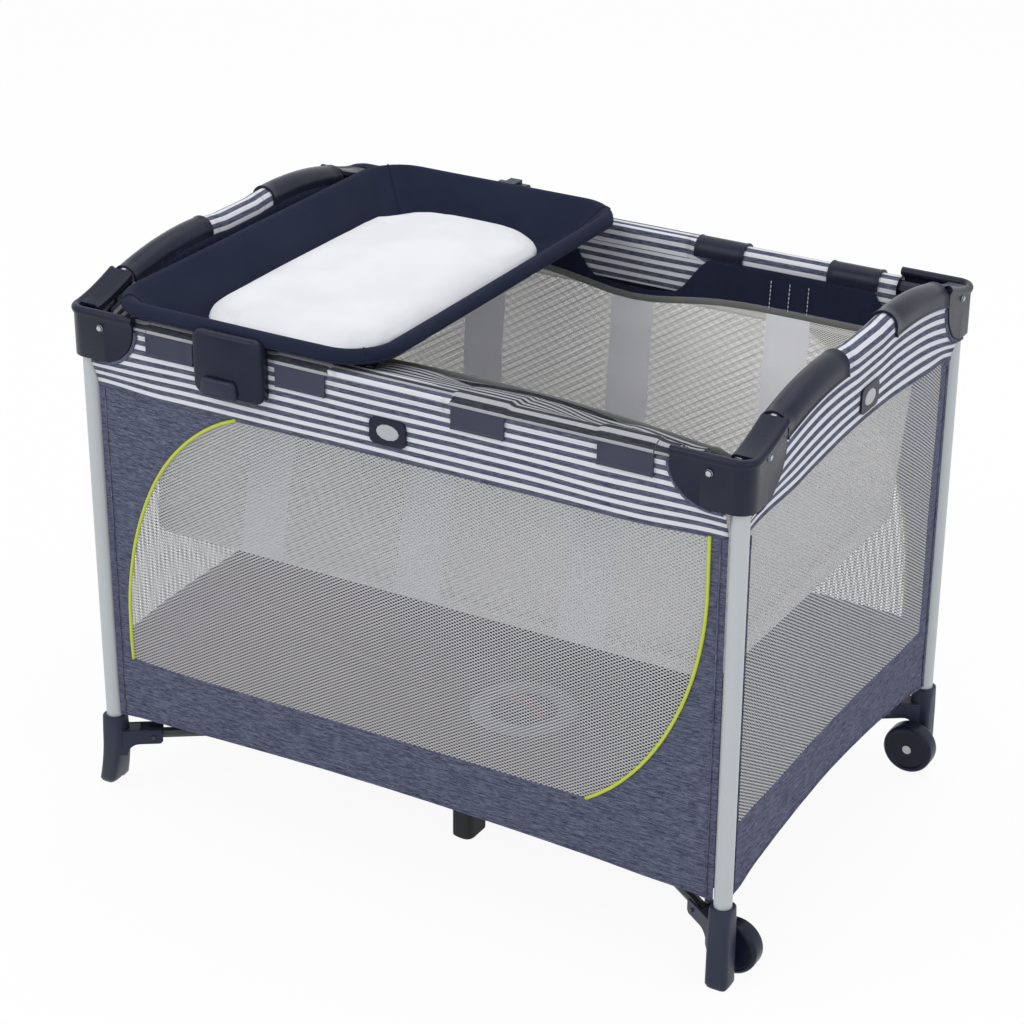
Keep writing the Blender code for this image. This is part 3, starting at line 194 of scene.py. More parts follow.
# Pads
PAD_BULGE = 0.006
PAD_VOXEL = 0.006
PAD_PRESSURE = 4.0
PAD_GIVE = 0.005  # most that the simulation moves a point
PAD_STEPS = 20
PAD_EDGE = 0.066  # changer's tube to the pad's edge
PAD_CORNER = 0.10
PAD_THICKNESS = 0.027
PAD_SIDE = (  # inset and share of the thickness, from the bottom up
    (0.10, 0.0), (0.02, 0.0), (0.005, 0.12), (0.0, 0.4),
    (0.004, 0.68), (0.016, 0.86), (0.04, 0.96), (0.10, 1.0),
)
MATTRESS_CORNER = 0.04
MATTRESS_GAP = 0.003

# Floor
FLOOR_LIFT = 0.010
FLOOR_GAP = 0.002  # post axis plane to the floor's edge
FLOOR_CORNER = 0.034
FLOOR_WAVE = 0.0015
HUB_HOLE = 0.056
HUB_RING = 0.082
STRAP_RISE = 0.95  # share of the solid strap's height
STRAP_THICKNESS = 0.0018

# Posts and wheels
POST_WALL = 0.0015
WHEEL_BORE = 0.0047
WHEEL_RIM = 0.80  # share of the wheel's radius
WHEEL_SUNK = 0.0022
WHEEL_ROUND = 0.0055

# Corner caps
CAP_TOP = 0.775
CAP_RISE = 0.024  # rise of the short arm's rim at its tip
CAP_RISE_POWER = 1.4
CAP_ARM_LONG = 0.090
CAP_ARM_SHORT = 0.080
LONG_SWEEP = (0.060, 0.055)  # length and height of the arms' curved lower edges
SHORT_SWEEP = (0.070, 0.066)
CAP_FACE = 0.0215  # post's axis to a cap's outer face
CAP_ROUND = 0.024  # plan radius of the corner
CAP_WALL = 0.004
CAP_RIM = 0.0064
CAP_BLOCK_ROUND = 0.018  # plan radius of the block inside
CAP_BLOCK_TOP = 0.010  # post's top down to it
HOOD_BELOW = 0.002  # rim's top to the hood over the short rail's end
HOOD_REACH = 0.0175
HOOD_INSET = 0.003  # cap's face to the hood's outer edge
HOOD_LIP = 0.010
RIVET = 0.0052
RIVET_HEIGHT = 0.0030

# Feet
FOOT_TOP = HEM_CORNER - 0.003
FOOT_SOCKET = 0.0165  # half width of the socket round the post
STAND = (0.034, 0.034)  # wheel foot's sole
SOLE = (0.028, 0.044)  # plain foot's sole
SOLE_SHIFT = (-0.0245, 0.018)  # plain foot, sole's place from the post
SOLE_EDGE = 0.0025
FOOT_FLARE = 1.6
FOOT_SQUARENESS = 4.5
FOOT_NOTCH = 0.007
ARM_HALF = (0.015, 0.0115)  # half width and half height of the arm to the leg's pivot
ARM_START = 0.004
ARM_REACH = 0.069
ARM_SLOT = 0.0115  # half width of the slot for the floor leg
ARM_FILLET = 0.018
ARM_PLATE = (0.010, 0.036)  # start and end of the plate over the slot
ARM_PLATE_WALL = 0.004

# Changer
CHANGER_ROLL = 0.0104
CHANGER_TUBE = 0.0088
HINGE_TOP = 0.0045  # hinge arms above and below their pivot
HINGE_ARMS = (0.0105, 0.0255)  # hinge arms' sides from their middle
CHANGER_CORNER = 0.065
CHANGER_DEPTH = 0.0497
TRAY_SLOPE = 0.0605  # tube to the foot of the tray's slope
TRAY_SAG = 0.0025
TRAY_TURNS = 13  # points round each of its corners
TRAY_CORNER = 0.045  # least plan radius
TRAY_CREASE = 0.0060
TRAY_INSIDE = (-0.066, -0.10, -0.15, -0.19)  # rings of its floor, from the tube
TRAY_CORD = 0.0013
TRAY_SEAM = 0.0010
SEAM_START = 6  # ring of the tray where the seams down its corners start
BRACKET_HALF = 0.056
BRACKET_LOW = 0.698
BRACKET_HIGH = 0.790
BRACKET_DEPTH = 0.0155
BRACKET_CORNER = 0.014
BRACKET_EDGE = ((BRACKET_DEPTH, 0.0), (0.006, 0.0), (0.0025, 0.0006), (0.0008, 0.0022), (0.0, 0.005))
TAB_HALF = 0.030
TAB_CORNER = 0.006
TAB_LEAN = 0.10
TAB_EDGE = ((0.0, 0.0), (-0.003, 0.0), (-0.0055, 0.001), (-0.0065, 0.0035))

# Light and camera
FLOOR_SPAN = 30.0
FLOOR_GLOW = 0.93  # share of the floor that shows plain white
WORLD_LIGHT = 0.84
LAMPS = (  # name, place, size and power
    ("key", (-1.8, -3.2, 3.6), 2.6, 48.0),
    ("fill", (3.4, -1.6, 2.4), 3.0, 25.0),
    ("top", (0.2, 1.2, 4.2), 3.2, 35.0),
)
LAMP_AIM = Vector((0, 0, 0.45))
CAMERA_PLACE = Vector((1.754, -3.074, 2.119))
CAMERA_AZIMUTH = math.radians(30.03)
CAMERA_ELEVATION = math.radians(25.45)
CAMERA_ROLL = math.radians(0.33)
CAMERA_FOCUS_PX = 2707.0
PHOTO_PX = 1024
SENSOR_MM = 36.0


class Nodes:
    """Builds a material's node tree: each method adds a node and returns its output."""

    def __init__(self, name, roughness, metallic=0.0, **sockets):
        self.material = bpy.data.materials.new(name)
        self.material.use_nodes = True
        self.tree = self.material.node_tree
        self.shader = self.tree.nodes["Principled BSDF"]
        self.shader.inputs["Roughness"].default_value = roughness
        self.shader.inputs["Metallic"].default_value = metallic
        for socket, value in sockets.items():
            self.shader.inputs[socket.replace("_", " ")].default_value = value

    def put(self, socket, value):
        if isinstance(value, bpy.types.NodeSocket):
            self.tree.links.new(value, socket)
        else:
            socket.default_value = value

    def node(self, kind, output=0, settings=(), **inputs):
        made = self.tree.nodes.new(kind)
        for key, value in dict(settings).items():
            setattr(made, key, value)
        for key, value in inputs.items():
            place = int(key[1:]) if key[0] == "i" and key[1:].isdigit() else key.replace("_", " ")
            self.put(made.inputs[place], value)
        return made.outputs[output]

    def uv(self):
        return self.node("ShaderNodeTexCoord", "UV")

    def place(self):
        return self.node("ShaderNodeTexCoord", "Object")

    def scaled(self, vector, scale):
        return self.node("ShaderNodeMapping", Vector=vector, Scale=scale)

    def noise(self, vector, scale, detail, roughness=0.5):
        return self.node(
            "ShaderNodeTexNoise", "Fac", Vector=vector, Scale=scale, Detail=detail, Roughness=roughness)

    def streaks(self, vector, scale, detail, roughness=0.5):
        """Noise with its own scale along each axis."""
        return self.noise(self.scaled(vector, scale), 1.0, detail, roughness)

    def math(self, operation, a, b=0.0, c=0.0):
        return self.node("ShaderNodeMath", 0, {"operation": operation}, i0=a, i1=b, i2=c)

    def ramp(self, value, low, high, start=0.0, end=1.0):
        return self.node(
            "ShaderNodeMapRange", 0, {"interpolation_type": "SMOOTHSTEP"},
            Value=value, From_Min=low, From_Max=high, To_Min=start, To_Max=end)

    def mix(self, share, first, second):
        first, second = [(*c, 1.0) if isinstance(c, tuple) else c for c in (first, second)]
        return self.node("ShaderNodeMix", 2, {"data_type": "RGBA"}, i0=share, i6=first, i7=second)

    def split(self, vector):
        made = self.tree.nodes.new("ShaderNodeSeparateXYZ")
        self.put(made.inputs[0], vector)
        return made.outputs[0], made.outputs[1]

    def bump(self, height, distance, strength):
        normal = self.node("ShaderNodeBump", 0, Height=height, Distance=distance, Strength=strength)
        self.put(self.shader.inputs["Normal"], normal)

    def colour(self, value):
        self.put(self.shader.inputs["Base Color"], (*value, 1.0) if isinstance(value, tuple) else value)
        return self.material

    def set(self, socket, value):
        self.put(self.shader.inputs[socket], value)


def dimmed(colour, share):
    return tuple(share * c for c in colour)


def plastic(name, colour, worn, roughness):
    """Moulded plastic: a fine spark-eroded grain and paler, smoother handled patches."""
    made = Nodes(name, roughness, Specular_IOR_Level=0.17)
    place = made.place()
    grain = made.noise(place, 2600.0, 3.0)
    cloud = made.noise(place, 14.0, 4.0)
    made.bump(grain, 0.00012, 0.5)
    made.set("Roughness", made.ramp(cloud, 0.3, 0.7, roughness - 0.06, roughness + 0.06))
    return made.colour(made.mix(made.ramp(cloud, 0.25, 0.8), colour, worn))


def painted_tube(name, colour, roughness, metallic):
    made = Nodes(name, roughness, metallic)
    place = made.place()
    cloud = made.streaks(place, (60.0, 60.0, 4.0), 3.0)
    made.bump(made.noise(place, 1800.0, 2.0), 0.00006, 0.4)
    return made.colour(made.mix(cloud, dimmed(colour, 0.9), colour))


def heather(made, uv, dark, pale):
    """Slub yarns: short pale and dark streaks along the cloth, over a fine weave."""
    streak = made.streaks(uv, (85.0, 800.0, 1.0), 3.0, 0.7)
    slub = made.streaks(uv, (26.0, 330.0, 1.0), 2.0)
    yarn = made.streaks(uv, (700.0, 700.0, 1.0), 1.0)
    fine = made.math("MULTIPLY_ADD", slub, 0.25, made.math("MULTIPLY", yarn, 0.2))
    mixed = made.math("MULTIPLY_ADD", streak, 0.55, fine)
    return made.mix(made.ramp(mixed, 0.38, 0.64), dark, pale)


def weave(made, uv, pitch):
    """Height of a plain weave with this thread pitch."""
    u, v = made.split(uv)
    turn = 2 * math.pi / pitch
    warp = made.math("SINE", made.math("MULTIPLY", u, turn))
    weft = made.math("SINE", made.math("MULTIPLY", v, turn))
    return made.math("MULTIPLY", warp, weft)


DENIM_DARK, DENIM_PALE = (0.027, 0.032, 0.066), (0.168, 0.180, 0.258)


def denim():
    made = Nodes("denim", 0.92, Specular_IOR_Level=0.1, Sheen_Weight=0.04)
    uv = made.uv()
    made.bump(weave(made, uv, 0.0011), 0.00025, 0.5)
    return made.colour(heather(made, uv, DENIM_DARK, DENIM_PALE))


def striped(name, white, dark, pale):
    """Woven stripes along the band: v runs across it."""
    made = Nodes(name, 0.90, Specular_IOR_Level=0.1, Sheen_Weight=0.03)
    uv = made.uv()
    _, v = made.split(uv)
    wave = made.math("PINGPONG", made.math("DIVIDE", v, STRIPE_PERIOD / 2), 1.0)
    fuzz = made.math("MULTIPLY", made.streaks(uv, (700.0, 120.0, 1.0), 2.0), 0.10)
    share = made.ramp(made.math("ADD", wave, fuzz), WHITE_SHARE + 0.02, WHITE_SHARE + 0.10)
    soft = made.mix(made.streaks(uv, (60.0, 900.0, 1.0), 2.0), dimmed(white, 0.88), white)
    made.bump(weave(made, uv, 0.0011), 0.0002, 0.45)
    return made.colour(made.mix(share, soft, heather(made, uv, dark, pale)))


def net(name, colour, pitch, open_share):
    """Knitted mesh: staggered round holes cut through by alpha."""
    made = Nodes(name, 0.85)
    uv = made.uv()
    u, v = made.split(made.scaled(uv, (2 * math.pi / pitch, 2 * math.pi / (pitch * 0.62), 1.0)))
    lattice = made.math("ADD", made.math("COSINE", u), made.math("COSINE", v))
    slants = []
    for slant in (0.5, -0.5):
        turn = made.math("MULTIPLY_ADD", u, 0.5, made.math("MULTIPLY", v, slant))
        slants.append(made.math("COSINE", turn))
    holes = made.math("MULTIPLY_ADD", lattice, 0.15, made.math("ADD", *slants))
    made.set("Alpha", made.ramp(holes, open_share - 0.25, open_share + 0.25, 1.0, 0.0))
    cloud = made.streaks(uv, (9.0, 9.0, 1.0), 3.0)
    made.bump(holes, 0.0004, 0.4)
    return made.colour(made.mix(cloud, dimmed(colour, 0.9), colour))


def dotted(name, dark, pale, pitch):
    """Doubled mesh of an edge binding: pale threads round dark dots."""
    made = Nodes(name, 0.85)
    u, v = made.split(made.scaled(made.uv(), (2 * math.pi / pitch, 2 * math.pi / pitch, 1.0)))
    dots = made.math("MULTIPLY", made.math("COSINE", u), made.math("COSINE", v))
    made.bump(dots, 0.0004, 0.5)
    return made.colour(made.mix(made.ramp(dots, -0.2, 0.5), pale, dark))


def cloth(name, dark, pale, pitch=0.0009, sheen=0.15):
    """Plain woven cloth with soft cloudy variation."""
    made = Nodes(name, 0.88, Specular_IOR_Level=0.1, Sheen_Weight=sheen, Sheen_Roughness=0.5)
    uv = made.uv()
    cloud = made.streaks(uv, (7.0, 7.0, 1.0), 4.0)
    yarn = made.streaks(uv, (500.0, 900.0, 1.0), 2.0)
    blend = made.math("MULTIPLY_ADD", yarn, 0.5, made.math("MULTIPLY", cloud, 0.5))
    made.bump(weave(made, uv, pitch), 0.00018, 0.4)
    return made.colour(made.mix(made.ramp(blend, 0.3, 0.7), dark, pale))


def pile(name, dark, pale):
    """Soft knitted pile of the changer's pad."""
    made = Nodes(name, 0.97, Sheen_Weight=0.25, Sheen_Roughness=0.6)
    place = made.place()
    tuft = made.noise(place, 900.0, 3.0)
    cloud = made.noise(place, 11.0, 3.0)
    made.bump(made.math("MULTIPLY_ADD", tuft, 0.5, made.math("MULTIPLY", cloud, 1.5)), 0.0012, 0.45)
    return made.colour(made.mix(made.ramp(cloud, 0.3, 0.7), dark, pale))


def plain(name, colour, roughness):
    made = Nodes(name, roughness)
    fleck = made.noise(made.place(), 900.0, 2.0)
    made.bump(fleck, 0.0001, 0.4)
    return made.colour(made.mix(fleck, dimmed(colour, 0.85), colour))


NAVY = plastic("navy_plastic", (0.010, 0.013, 0.028), (0.016, 0.019, 0.036), 0.29)
NAVY_SATIN = plastic("navy_satin", (0.023, 0.028, 0.050), (0.031, 0.036, 0.060), 0.36)
SILVER = painted_tube("silver_paint", (0.47, 0.50, 0.52), 0.36, 0.25)
STEEL = painted_tube("bare_steel", (0.40, 0.41, 0.42), 0.34, 0.9)
# Floor legs: steel tubes given a near-black colour as painted shade under the hem
SHADED_LEG_TUBE = painted_tube("painted_shade_steel", (0.045, 0.047, 0.055), 0.42, 0.2)
BUTTON = plastic("button_plastic", (0.36, 0.375, 0.40), (0.44, 0.455, 0.48), 0.40)
RUBBER = plain("black_rubber", (0.010, 0.011, 0.015), 0.75)
DENIM = denim()
STRIPES = striped("striped_band", (0.70, 0.715, 0.77), (0.036, 0.043, 0.078), (0.150, 0.163, 0.225))
# The front flap's stripes: the band's own striped cloth, darkened as painted shade where it hangs inside the
# rail
SHADED_FLAP_STRIPES = striped("painted_shade_stripes", (0.40, 0.41, 0.435), (0.022, 0.024, 0.032), (0.060, 0.063, 0.078))
WALL_NET = net("wall_mesh", (0.46, 0.46, 0.475), 0.0040, 0.12)
BASKET_NET = net("bassinet_mesh", (0.90, 0.885, 0.85), 0.0028, 0.40)
# Front clips: the same navy plastic as the other clips, made paler as painted light where the lamps fall on
# their tops
LIT_FRONT_CLIP = plastic("painted_light_clip_plastic", (0.040, 0.046, 0.074), (0.048, 0.054, 0.084), 0.38)
NAVY_CLOTH = cloth("navy_cloth", (0.010, 0.014, 0.034), (0.018, 0.023, 0.047), sheen=0.02)
GREY_TAPE = cloth("grey_tape", (0.80, 0.80, 0.84), (0.88, 0.88, 0.92))
FLOOR_CLOTH = cloth("floor_cloth", (0.050, 0.050, 0.054), (0.080, 0.080, 0.084))
MATTRESS = cloth("mattress_cloth", (0.45, 0.45, 0.46), (0.58, 0.58, 0.58))
PILE = pile("white_pile", (0.66, 0.67, 0.70), (0.72, 0.725, 0.755))
LIME = plain("lime_piping", (0.52, 0.60, 0.045), 0.6)
THREAD = plain("white_thread", (0.70, 0.71, 0.75), 0.8)
RED = cloth("red_webbing", (0.40, 0.04, 0.05), (0.55, 0.07, 0.07), 0.0018)
BINDING = dotted("dotted_binding", (0.050, 0.051, 0.054), (0.24, 0.24, 0.24), 0.0032)
RING = cloth("grey_ring", (0.42, 0.42, 0.44), (0.52, 0.52, 0.54), 0.0014)


class Cloth:
    """Collects quads with their cloth coordinates, in metres, into one piece."""

    def __init__(self, name, materials):
        self.name = name
        self.materials = materials
        self.mesh = bmesh.new()
        self.layer = self.mesh.loops.layers.uv.new("UVMap")

    def patch(self, rows, uvs, slot=0, closed=False):
        """Adds a grid of points. A closed one joins its last column to its first."""
        made = [[self.mesh.verts.new(p) for p in row] for row in rows]
        for i in range(len(made) - 1):
            count = len(made[i])
            for j in range(count if closed else count - 1):
                k = (j + 1) % count
                corners = ((i, j), (i, k), (i + 1, k), (i + 1, j))
                face = self.mesh.faces.new([made[a][b] for a, b in corners])
                face.material_index = slot
                face.smooth = True
                for loop, (a, b) in zip(face.loops, corners):
                    wrapped = closed and b == 0 and j == count - 1
                    u, v = uvs[a][b] if not wrapped else uvs[a][-1]
                    loop[self.layer].uv = (u, v)
        return made

    def cap(self, ring):
        face = self.mesh.faces.new(ring)
        face.smooth = True

    def close(self, made):
        """Caps both ends of a closed grid."""
        self.cap(list(reversed(made[0])))
        self.cap(made[-1])

    def done(self, body, replaces=(), thickness=0.0):
        bmesh.ops.remove_doubles(self.mesh, verts=self.mesh.verts, dist=WELD)
        bmesh.ops.recalc_face_normals(self.mesh, faces=self.mesh.faces)
        data = bpy.data.meshes.new(self.name)
        self.mesh.to_mesh(data)
        self.mesh.free()
        for material in self.materials:
            data.materials.append(material)
        piece = bpy.data.objects.new(self.name, data)
        bpy.context.scene.collection.objects.link(piece)
        if thickness:
            modifier = piece.modifiers.new("thickness", "SOLIDIFY")
            modifier.thickness = thickness
            modifier.offset = 0.0
        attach(piece, body)
        if replaces:
            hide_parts(*replaces)
        return piece


def spread(start, end, count):
    return [start + (end - start) * i / (count - 1) for i in range(count)]


def between(start, end, share):
    return start + (end - start) * share


def limited(value):
    return min(max(value, 0.0), 1.0)


def eased(value):
    value = limited(value)
    return value * value * (3 - 2 * value)


def ripple(*place):
    return noise.noise(Vector(place))


def turns_of(count):
    return [2 * math.pi * k / count for k in range(count)]


def rounded_loop(centre, half, corner, turns=9, straight=14):
    """(x, y) places anticlockwise round a rectangle with round corners."""
    signs = ((1, 1), (-1, 1), (-1, -1), (1, -1))

    def on_arc(quarter, turn):
        sx, sy = signs[quarter % 4]
        x = centre[0] + sx * (half[0] - corner) + corner * math.cos(turn)
        return x, centre[1] + sy * (half[1] - corner) + corner * math.sin(turn)

    places = []
    for quarter in range(4):
        start, end = quarter * math.pi / 2, (quarter + 1) * math.pi / 2
        places += [on_arc(quarter, turn) for turn in spread(start, end, turns)]
        a, b = places[-1], on_arc(quarter + 1, end)
        for f in spread(0.0, 1.0, straight + 1)[1:-1]:
            places.append((between(a[0], b[0], f), between(a[1], b[1], f)))
    return places


def tube(name, path, radius, material, body, sides):
    """A round piece along an open path, with flat ends."""
    piece = Cloth(name, [material])
    add_tube(piece, path, radius, sides)
    return piece.done(body)


def add_tube(piece, path, radius, sides, closed=False):
    """Adds a round bar along a path, with flat ends unless it closes on itself."""
    rows, uvs, travelled = [], [], 0.0
    count = len(path)
    turns = turns_of(sides)
    helper = Vector((0.3, 0.2, 0.93)).normalized()
    for i, point in enumerate(path):
        before = path[i - 1] if i or closed else point
        after = path[(i + 1) % count] if i + 1 < count or closed else point
        ahead = (after - before).normalized()
        across = ahead.cross(helper).normalized()
        up = across.cross(ahead)
        rows.append([point + radius * (math.cos(a) * across + math.sin(a) * up) for a in turns])
        travelled += (point - path[i - 1]).length if i else 0.0
        uvs.append([(travelled, radius * a) for a in (*turns, 2 * math.pi)])
    if closed:
        rows.append(rows[0])
        uvs.append([(travelled, v) for _, v in uvs[0]])
    made = piece.patch(rows, uvs, closed=True)
    if not closed:
        piece.close(made)


def distances(loop):
    """Distance travelled at each point of a closed loop, and back at its start."""
    around = [0.0]
    for a, b in zip(loop, loop[1:] + loop[:1]):
        around.append(around[-1] + (b - a).length)
    return around


def add_section_loft(piece, sections):
    """Adds a closed bar through outlines of equally many points, capped at both ends."""
    uvs, travelled = [], 0.0
    for i, outline in enumerate(sections):
        travelled += (outline[0] - sections[i - 1][0]).length if i else 0.0
        uvs.append([(travelled, around) for around in distances(outline)])
    piece.close(piece.patch(sections, uvs, closed=True))


def add_loops(piece, loops):
    """Joins closed loops of equally many points. Cloth coordinates run round and across them."""
    around = distances(loops[0])
    across, uvs = 0.0, []
    for i, loop in enumerate(loops):
        across += (loop[0] - loops[i - 1][0]).length if i else 0.0
        uvs.append([(u, across) for u in around])
    return piece.patch(loops, uvs, closed=True)


def stacked(name, material, loops, body, node):
    """A closed piece through loops of equally many points, with flat ends, in place of a node."""
    piece = Cloth(name, [material])
    piece.close(add_loops(piece, loops))
    return piece.done(body, [node])


def turned(name, centre, axis, profile, material, body, replaces, sides=48):
    """A lathed piece from (radius, distance along the axis) pairs, closed on itself."""
    piece = Cloth(name, [material])
    axis = Vector(axis)
    helper = Vector((1, 0, 0)) if abs(axis.z) > 0.5 else Vector((0, 0, 1))
    across = axis.cross(helper).normalized()
    up = across.cross(axis)
    loops = []
    for r, along in profile + profile[:1]:
        foot = centre + along * axis
        loops.append([foot + r * (math.cos(a) * across + math.sin(a) * up) for a in turns_of(sides)])
    add_loops(piece, loops)
    return piece.done(body, replaces)


def evaluated(piece):
    bpy.context.view_layer.update()
    return bpy.data.meshes.new_from_object(piece.evaluated_get(bpy.context.evaluated_depsgraph_get()))


def carve(piece, cutter):
    """Cuts a rod out of a piece and deletes the rod."""
    cut = piece.modifiers.new("cut", "BOOLEAN")
    cut.object = cutter
    cut.solver = "EXACT"
    piece.data = evaluated(piece)
    piece.modifiers.clear()
    bpy.data.objects.remove(cutter)


def soften(piece, width, angle=28):
    """Rounds a piece's sharp edges."""
    bevel = piece.modifiers.new("edges", "BEVEL")
    bevel.width = width
    bevel.segments = 2
    bevel.limit_method = "ANGLE"
    bevel.angle_limit = math.radians(angle)
    bevel.harden_normals = True


class Side:
    """One side of the yard: s along it to the right as seen from outside, n outwards, z up."""

    def __init__(self, name):
        self.name = name
        self.long = name in ("front", "back")
        turn = {"front": 0, "right": 1, "back": 2, "left": 3}[name] * math.pi / 2
        self.along = Vector((round(math.cos(turn)), round(math.sin(turn)), 0))
        self.out = Vector((round(math.sin(turn)), -round(math.cos(turn)), 0))
        self.half = HALF_LENGTH if self.long else HALF_WIDTH
        self.centre = self.out * (HALF_WIDTH if self.long else HALF_LENGTH)
        self.lock_end = LONG_LOCK_END if self.long else SHORT_LOCK_END
        self.cap_tip = LONG_CAP_TIP if self.long else SHORT_CAP_TIP
        self.sleeve_end = LONG_SLEEVE_END if self.long else SHORT_SLEEVE_END
        self.end = self.half - POST_RADIUS - POST_GAP
        self.hem_rise = LONG_HEM_RISE if self.long else SHORT_HEM_RISE
        self.band_lift = LONG_BAND_LIFT if self.long else SHORT_BAND_LIFT

    def point(self, s, n, z):
        return self.centre + s * self.along + n * self.out + Vector((0, 0, z))

    def rail(self, s):
        if self.long:
            return LONG_RAIL
        at_lock = (RAIL_ARCH - RAIL_DIP) / RAIL_ARCH
        rise = 2 * (1 - at_lock) + 2 * math.sqrt(1 - at_lock)
        t = limited((abs(s) - SHORT_LOCK_PIVOT) / (SHORT_CAP_PIVOT - SHORT_LOCK_PIVOT))
        return SHORT_PIVOT + RAIL_ARCH * (at_lock + rise * t - (at_lock + rise) * t * t)

    def hem(self, s):
        return HEM_CORNER + self.hem_rise * (1 - (s / self.half) ** 2)

    def band_low(self, s):
        return BAND_LOW + self.band_lift * max(0.0, 1 - (s / self.half) ** 2) ** BAND_ARCH

    def body_at(self, half):
        """The body of the half rail that lies at the side's left, -1, or right, 1."""
        first = self.along * half
        word = {(-1, 0): "left", (1, 0): "right", (0, -1): "front", (0, 1): "back"}[(first.x, first.y)]
        return f"{self.name}_rail_{word}"


class Corner:
    """One corner post: u runs inwards along the long side, v inwards along the short side."""

    def __init__(self, name):
        self.name = name
        self.body = f"{name}_frame"
        self.post = middle(f"post_{name}")
        self.sx, self.sy = math.copysign(1, -self.post.x), math.copysign(1, -self.post.y)
        self.wheeled = name.endswith("right")
        pivot = Vector(JOINTS[f"floor_leg_{name}_turn"]["pos_m"])
        self.inward = Vector((pivot.x - self.post.x, pivot.y - self.post.y, 0)).normalized()

    def point(self, u, v, z):
        return Vector((self.post.x + self.sx * u, self.post.y + self.sy * v, z))


SIDES = {name: Side(name) for name in ("front", "right", "back", "left")}
WALL_BODY = {
    "front": "front_left_frame", "left": "front_left_frame",
    "back": "back_left_frame", "right": "front_right_frame",
}
CORNERS = [Corner(name) for name in ("front_left", "front_right", "back_left", "back_right")]


def fold_up(piece):
    """Gives a wall's piece a mesh of its own."""
    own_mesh(piece)


def set_materials():
    """Finishes of the frame's own nodes, with softened edges where they are moulded."""
    finish = {
        "post_": SILVER, "foot_": NAVY, "wheel_": NAVY_SATIN, "axle_": STEEL, "rail_": NAVY,
        # floor legs take a near-black colour as painted shade under the hem
        "lock_": NAVY, "button_": BUTTON, "floor_leg": SHADED_LEG_TUBE, "floor_hub": NAVY, "side_leg": RUBBER,
        "changer_latch_bracket": NAVY, "changer_latch_tab": NAVY_SATIN, "changer_hinge": NAVY,
        "changer_frame": NAVY, "cap_": NAVY,
    }
    moulded = {"lock_": 0.0012, "changer_hinge": 0.0012, "floor_hub": 0.0015, "side_leg": 0.0015}
    for name, node in NODES.items():
        for start, material in finish.items():
            if name.startswith(start):
                node.data.materials.clear()
                node.data.materials.append(material)
        for start, width in moulded.items():
            if name.startswith(start):
                soften(node, width)


def window_edges(side, z):
    """Left and right edge of a wall's mesh window at a height."""
    if not side.long:
        return SHORT_WINDOW
    up = limited((z - WINDOW_TURNS[0]) / WINDOW_RISE)
    down = limited((WINDOW_TURNS[1] - z) / WINDOW_RISE)
    left = WINDOW_LEFT + WINDOW_SWEEP * (1 - math.sqrt(1 - up * up))
    right = WINDOW_RIGHT - WINDOW_SWEEP * (1 - math.sqrt(1 - down * down))
    return left, right


def window_low(side, s):
    if side.long:
        return WINDOW_LOW
    return SHORT_WINDOW_LOW + SHORT_WINDOW_RISE * (1 - (s / side.half) ** 2)


def panel_out(side, s, z):
    """How far a wall's cloth stands out: nearly flat, with pulls near its lower corners."""
    from_post, top = side.end - abs(s), side.band_low(s)
    corner = eased((abs(s) - 0.6 * side.half) / (0.4 * side.half)) * eased((0.34 - z) / 0.2)
    pull = PANEL_PULL * corner * math.sin(70 * (z - 0.35 * abs(s)))
    broad, fine = PANEL_SLACK
    slack = broad * ripple(3.1 * s, 4.2 * z, side.half) + fine * ripple(17 * s, 13 * z, 2.0)
    edge = eased(from_post / 0.03) * eased((top + 0.004 - z) / 0.05)
    lean = PANEL_LEAN * eased(from_post / 0.13) * limited((z - HEM_CORNER) / (top - HEM_CORNER))
    return PANEL_OUT + lean + (pull + slack) * edge


def make_panel(side):
    """A wall's cloth below its band: denim round a mesh window, in one piece."""
    piece = Cloth(f"{side.name}_panel", [DENIM, WALL_NET])
    window, left, right, low = [], [], [], []
    for f in spread(0.0, 1.0, 25):
        a, b = window_edges(side, between(WINDOW_LOW, BAND_LOW, f))
        for grid, start, end, count in ((window, a, b, 49), (left, -side.end, a, 7), (right, b, side.end, 7)):
            places = spread(start, end, count)
            grid.append([(s, between(window_low(side, s), side.band_low(s), f)) for s in places])
    for f in spread(0.0, 1.0, 9):
        places = spread(-side.end, side.end, 61)
        low.append([(s, between(side.hem(s), window_low(side, s), f)) for s in places])
    for grid, slot in ((window, 1), (left, 0), (right, 0), (low, 0)):
        points = [[side.point(s, panel_out(side, s, z), z) for s, z in row] for row in grid]
        piece.patch(points, grid, slot)
    panel = piece.done(WALL_BODY[side.name], [f"wall_{side.name}"])
    fold_up(panel)


def band_out(side, s, z):
    """How far the hanging band stands out, from the rail's sleeve down to the panel."""
    rail = side.rail(s)
    over_lock = eased((side.lock_end + 0.060 - abs(s)) / 0.055)
    low = side.band_low(s)
    drop = (rail - z) / (rail - low)
    wave = BAND_SLACK * ripple(9 * s, 16 * z, 5.0 + side.half) * eased(drop * 3) * (1 - over_lock)
    return between(SLEEVE, panel_out(side, s, low), eased((drop - 0.5) / 0.5)) + wave


def band_v(side, s, z):
    """Distance up the band's cloth from its lower edge, for its stripes."""
    low, rail = side.band_low(s), side.rail(s)
    share = (z - low) / (rail - low)
    wave = STRIPE_WAVE * ripple(6.5 * s, side.half, 1.5 * share) * min(1.0, 4 * share * (1 - share))
    return STRIPE_START + share * STRIPE_SPAN + wave


def band_uvs(side, grid):
    return [[(s, band_v(side, s, z)) for s, z in row] for row in grid]


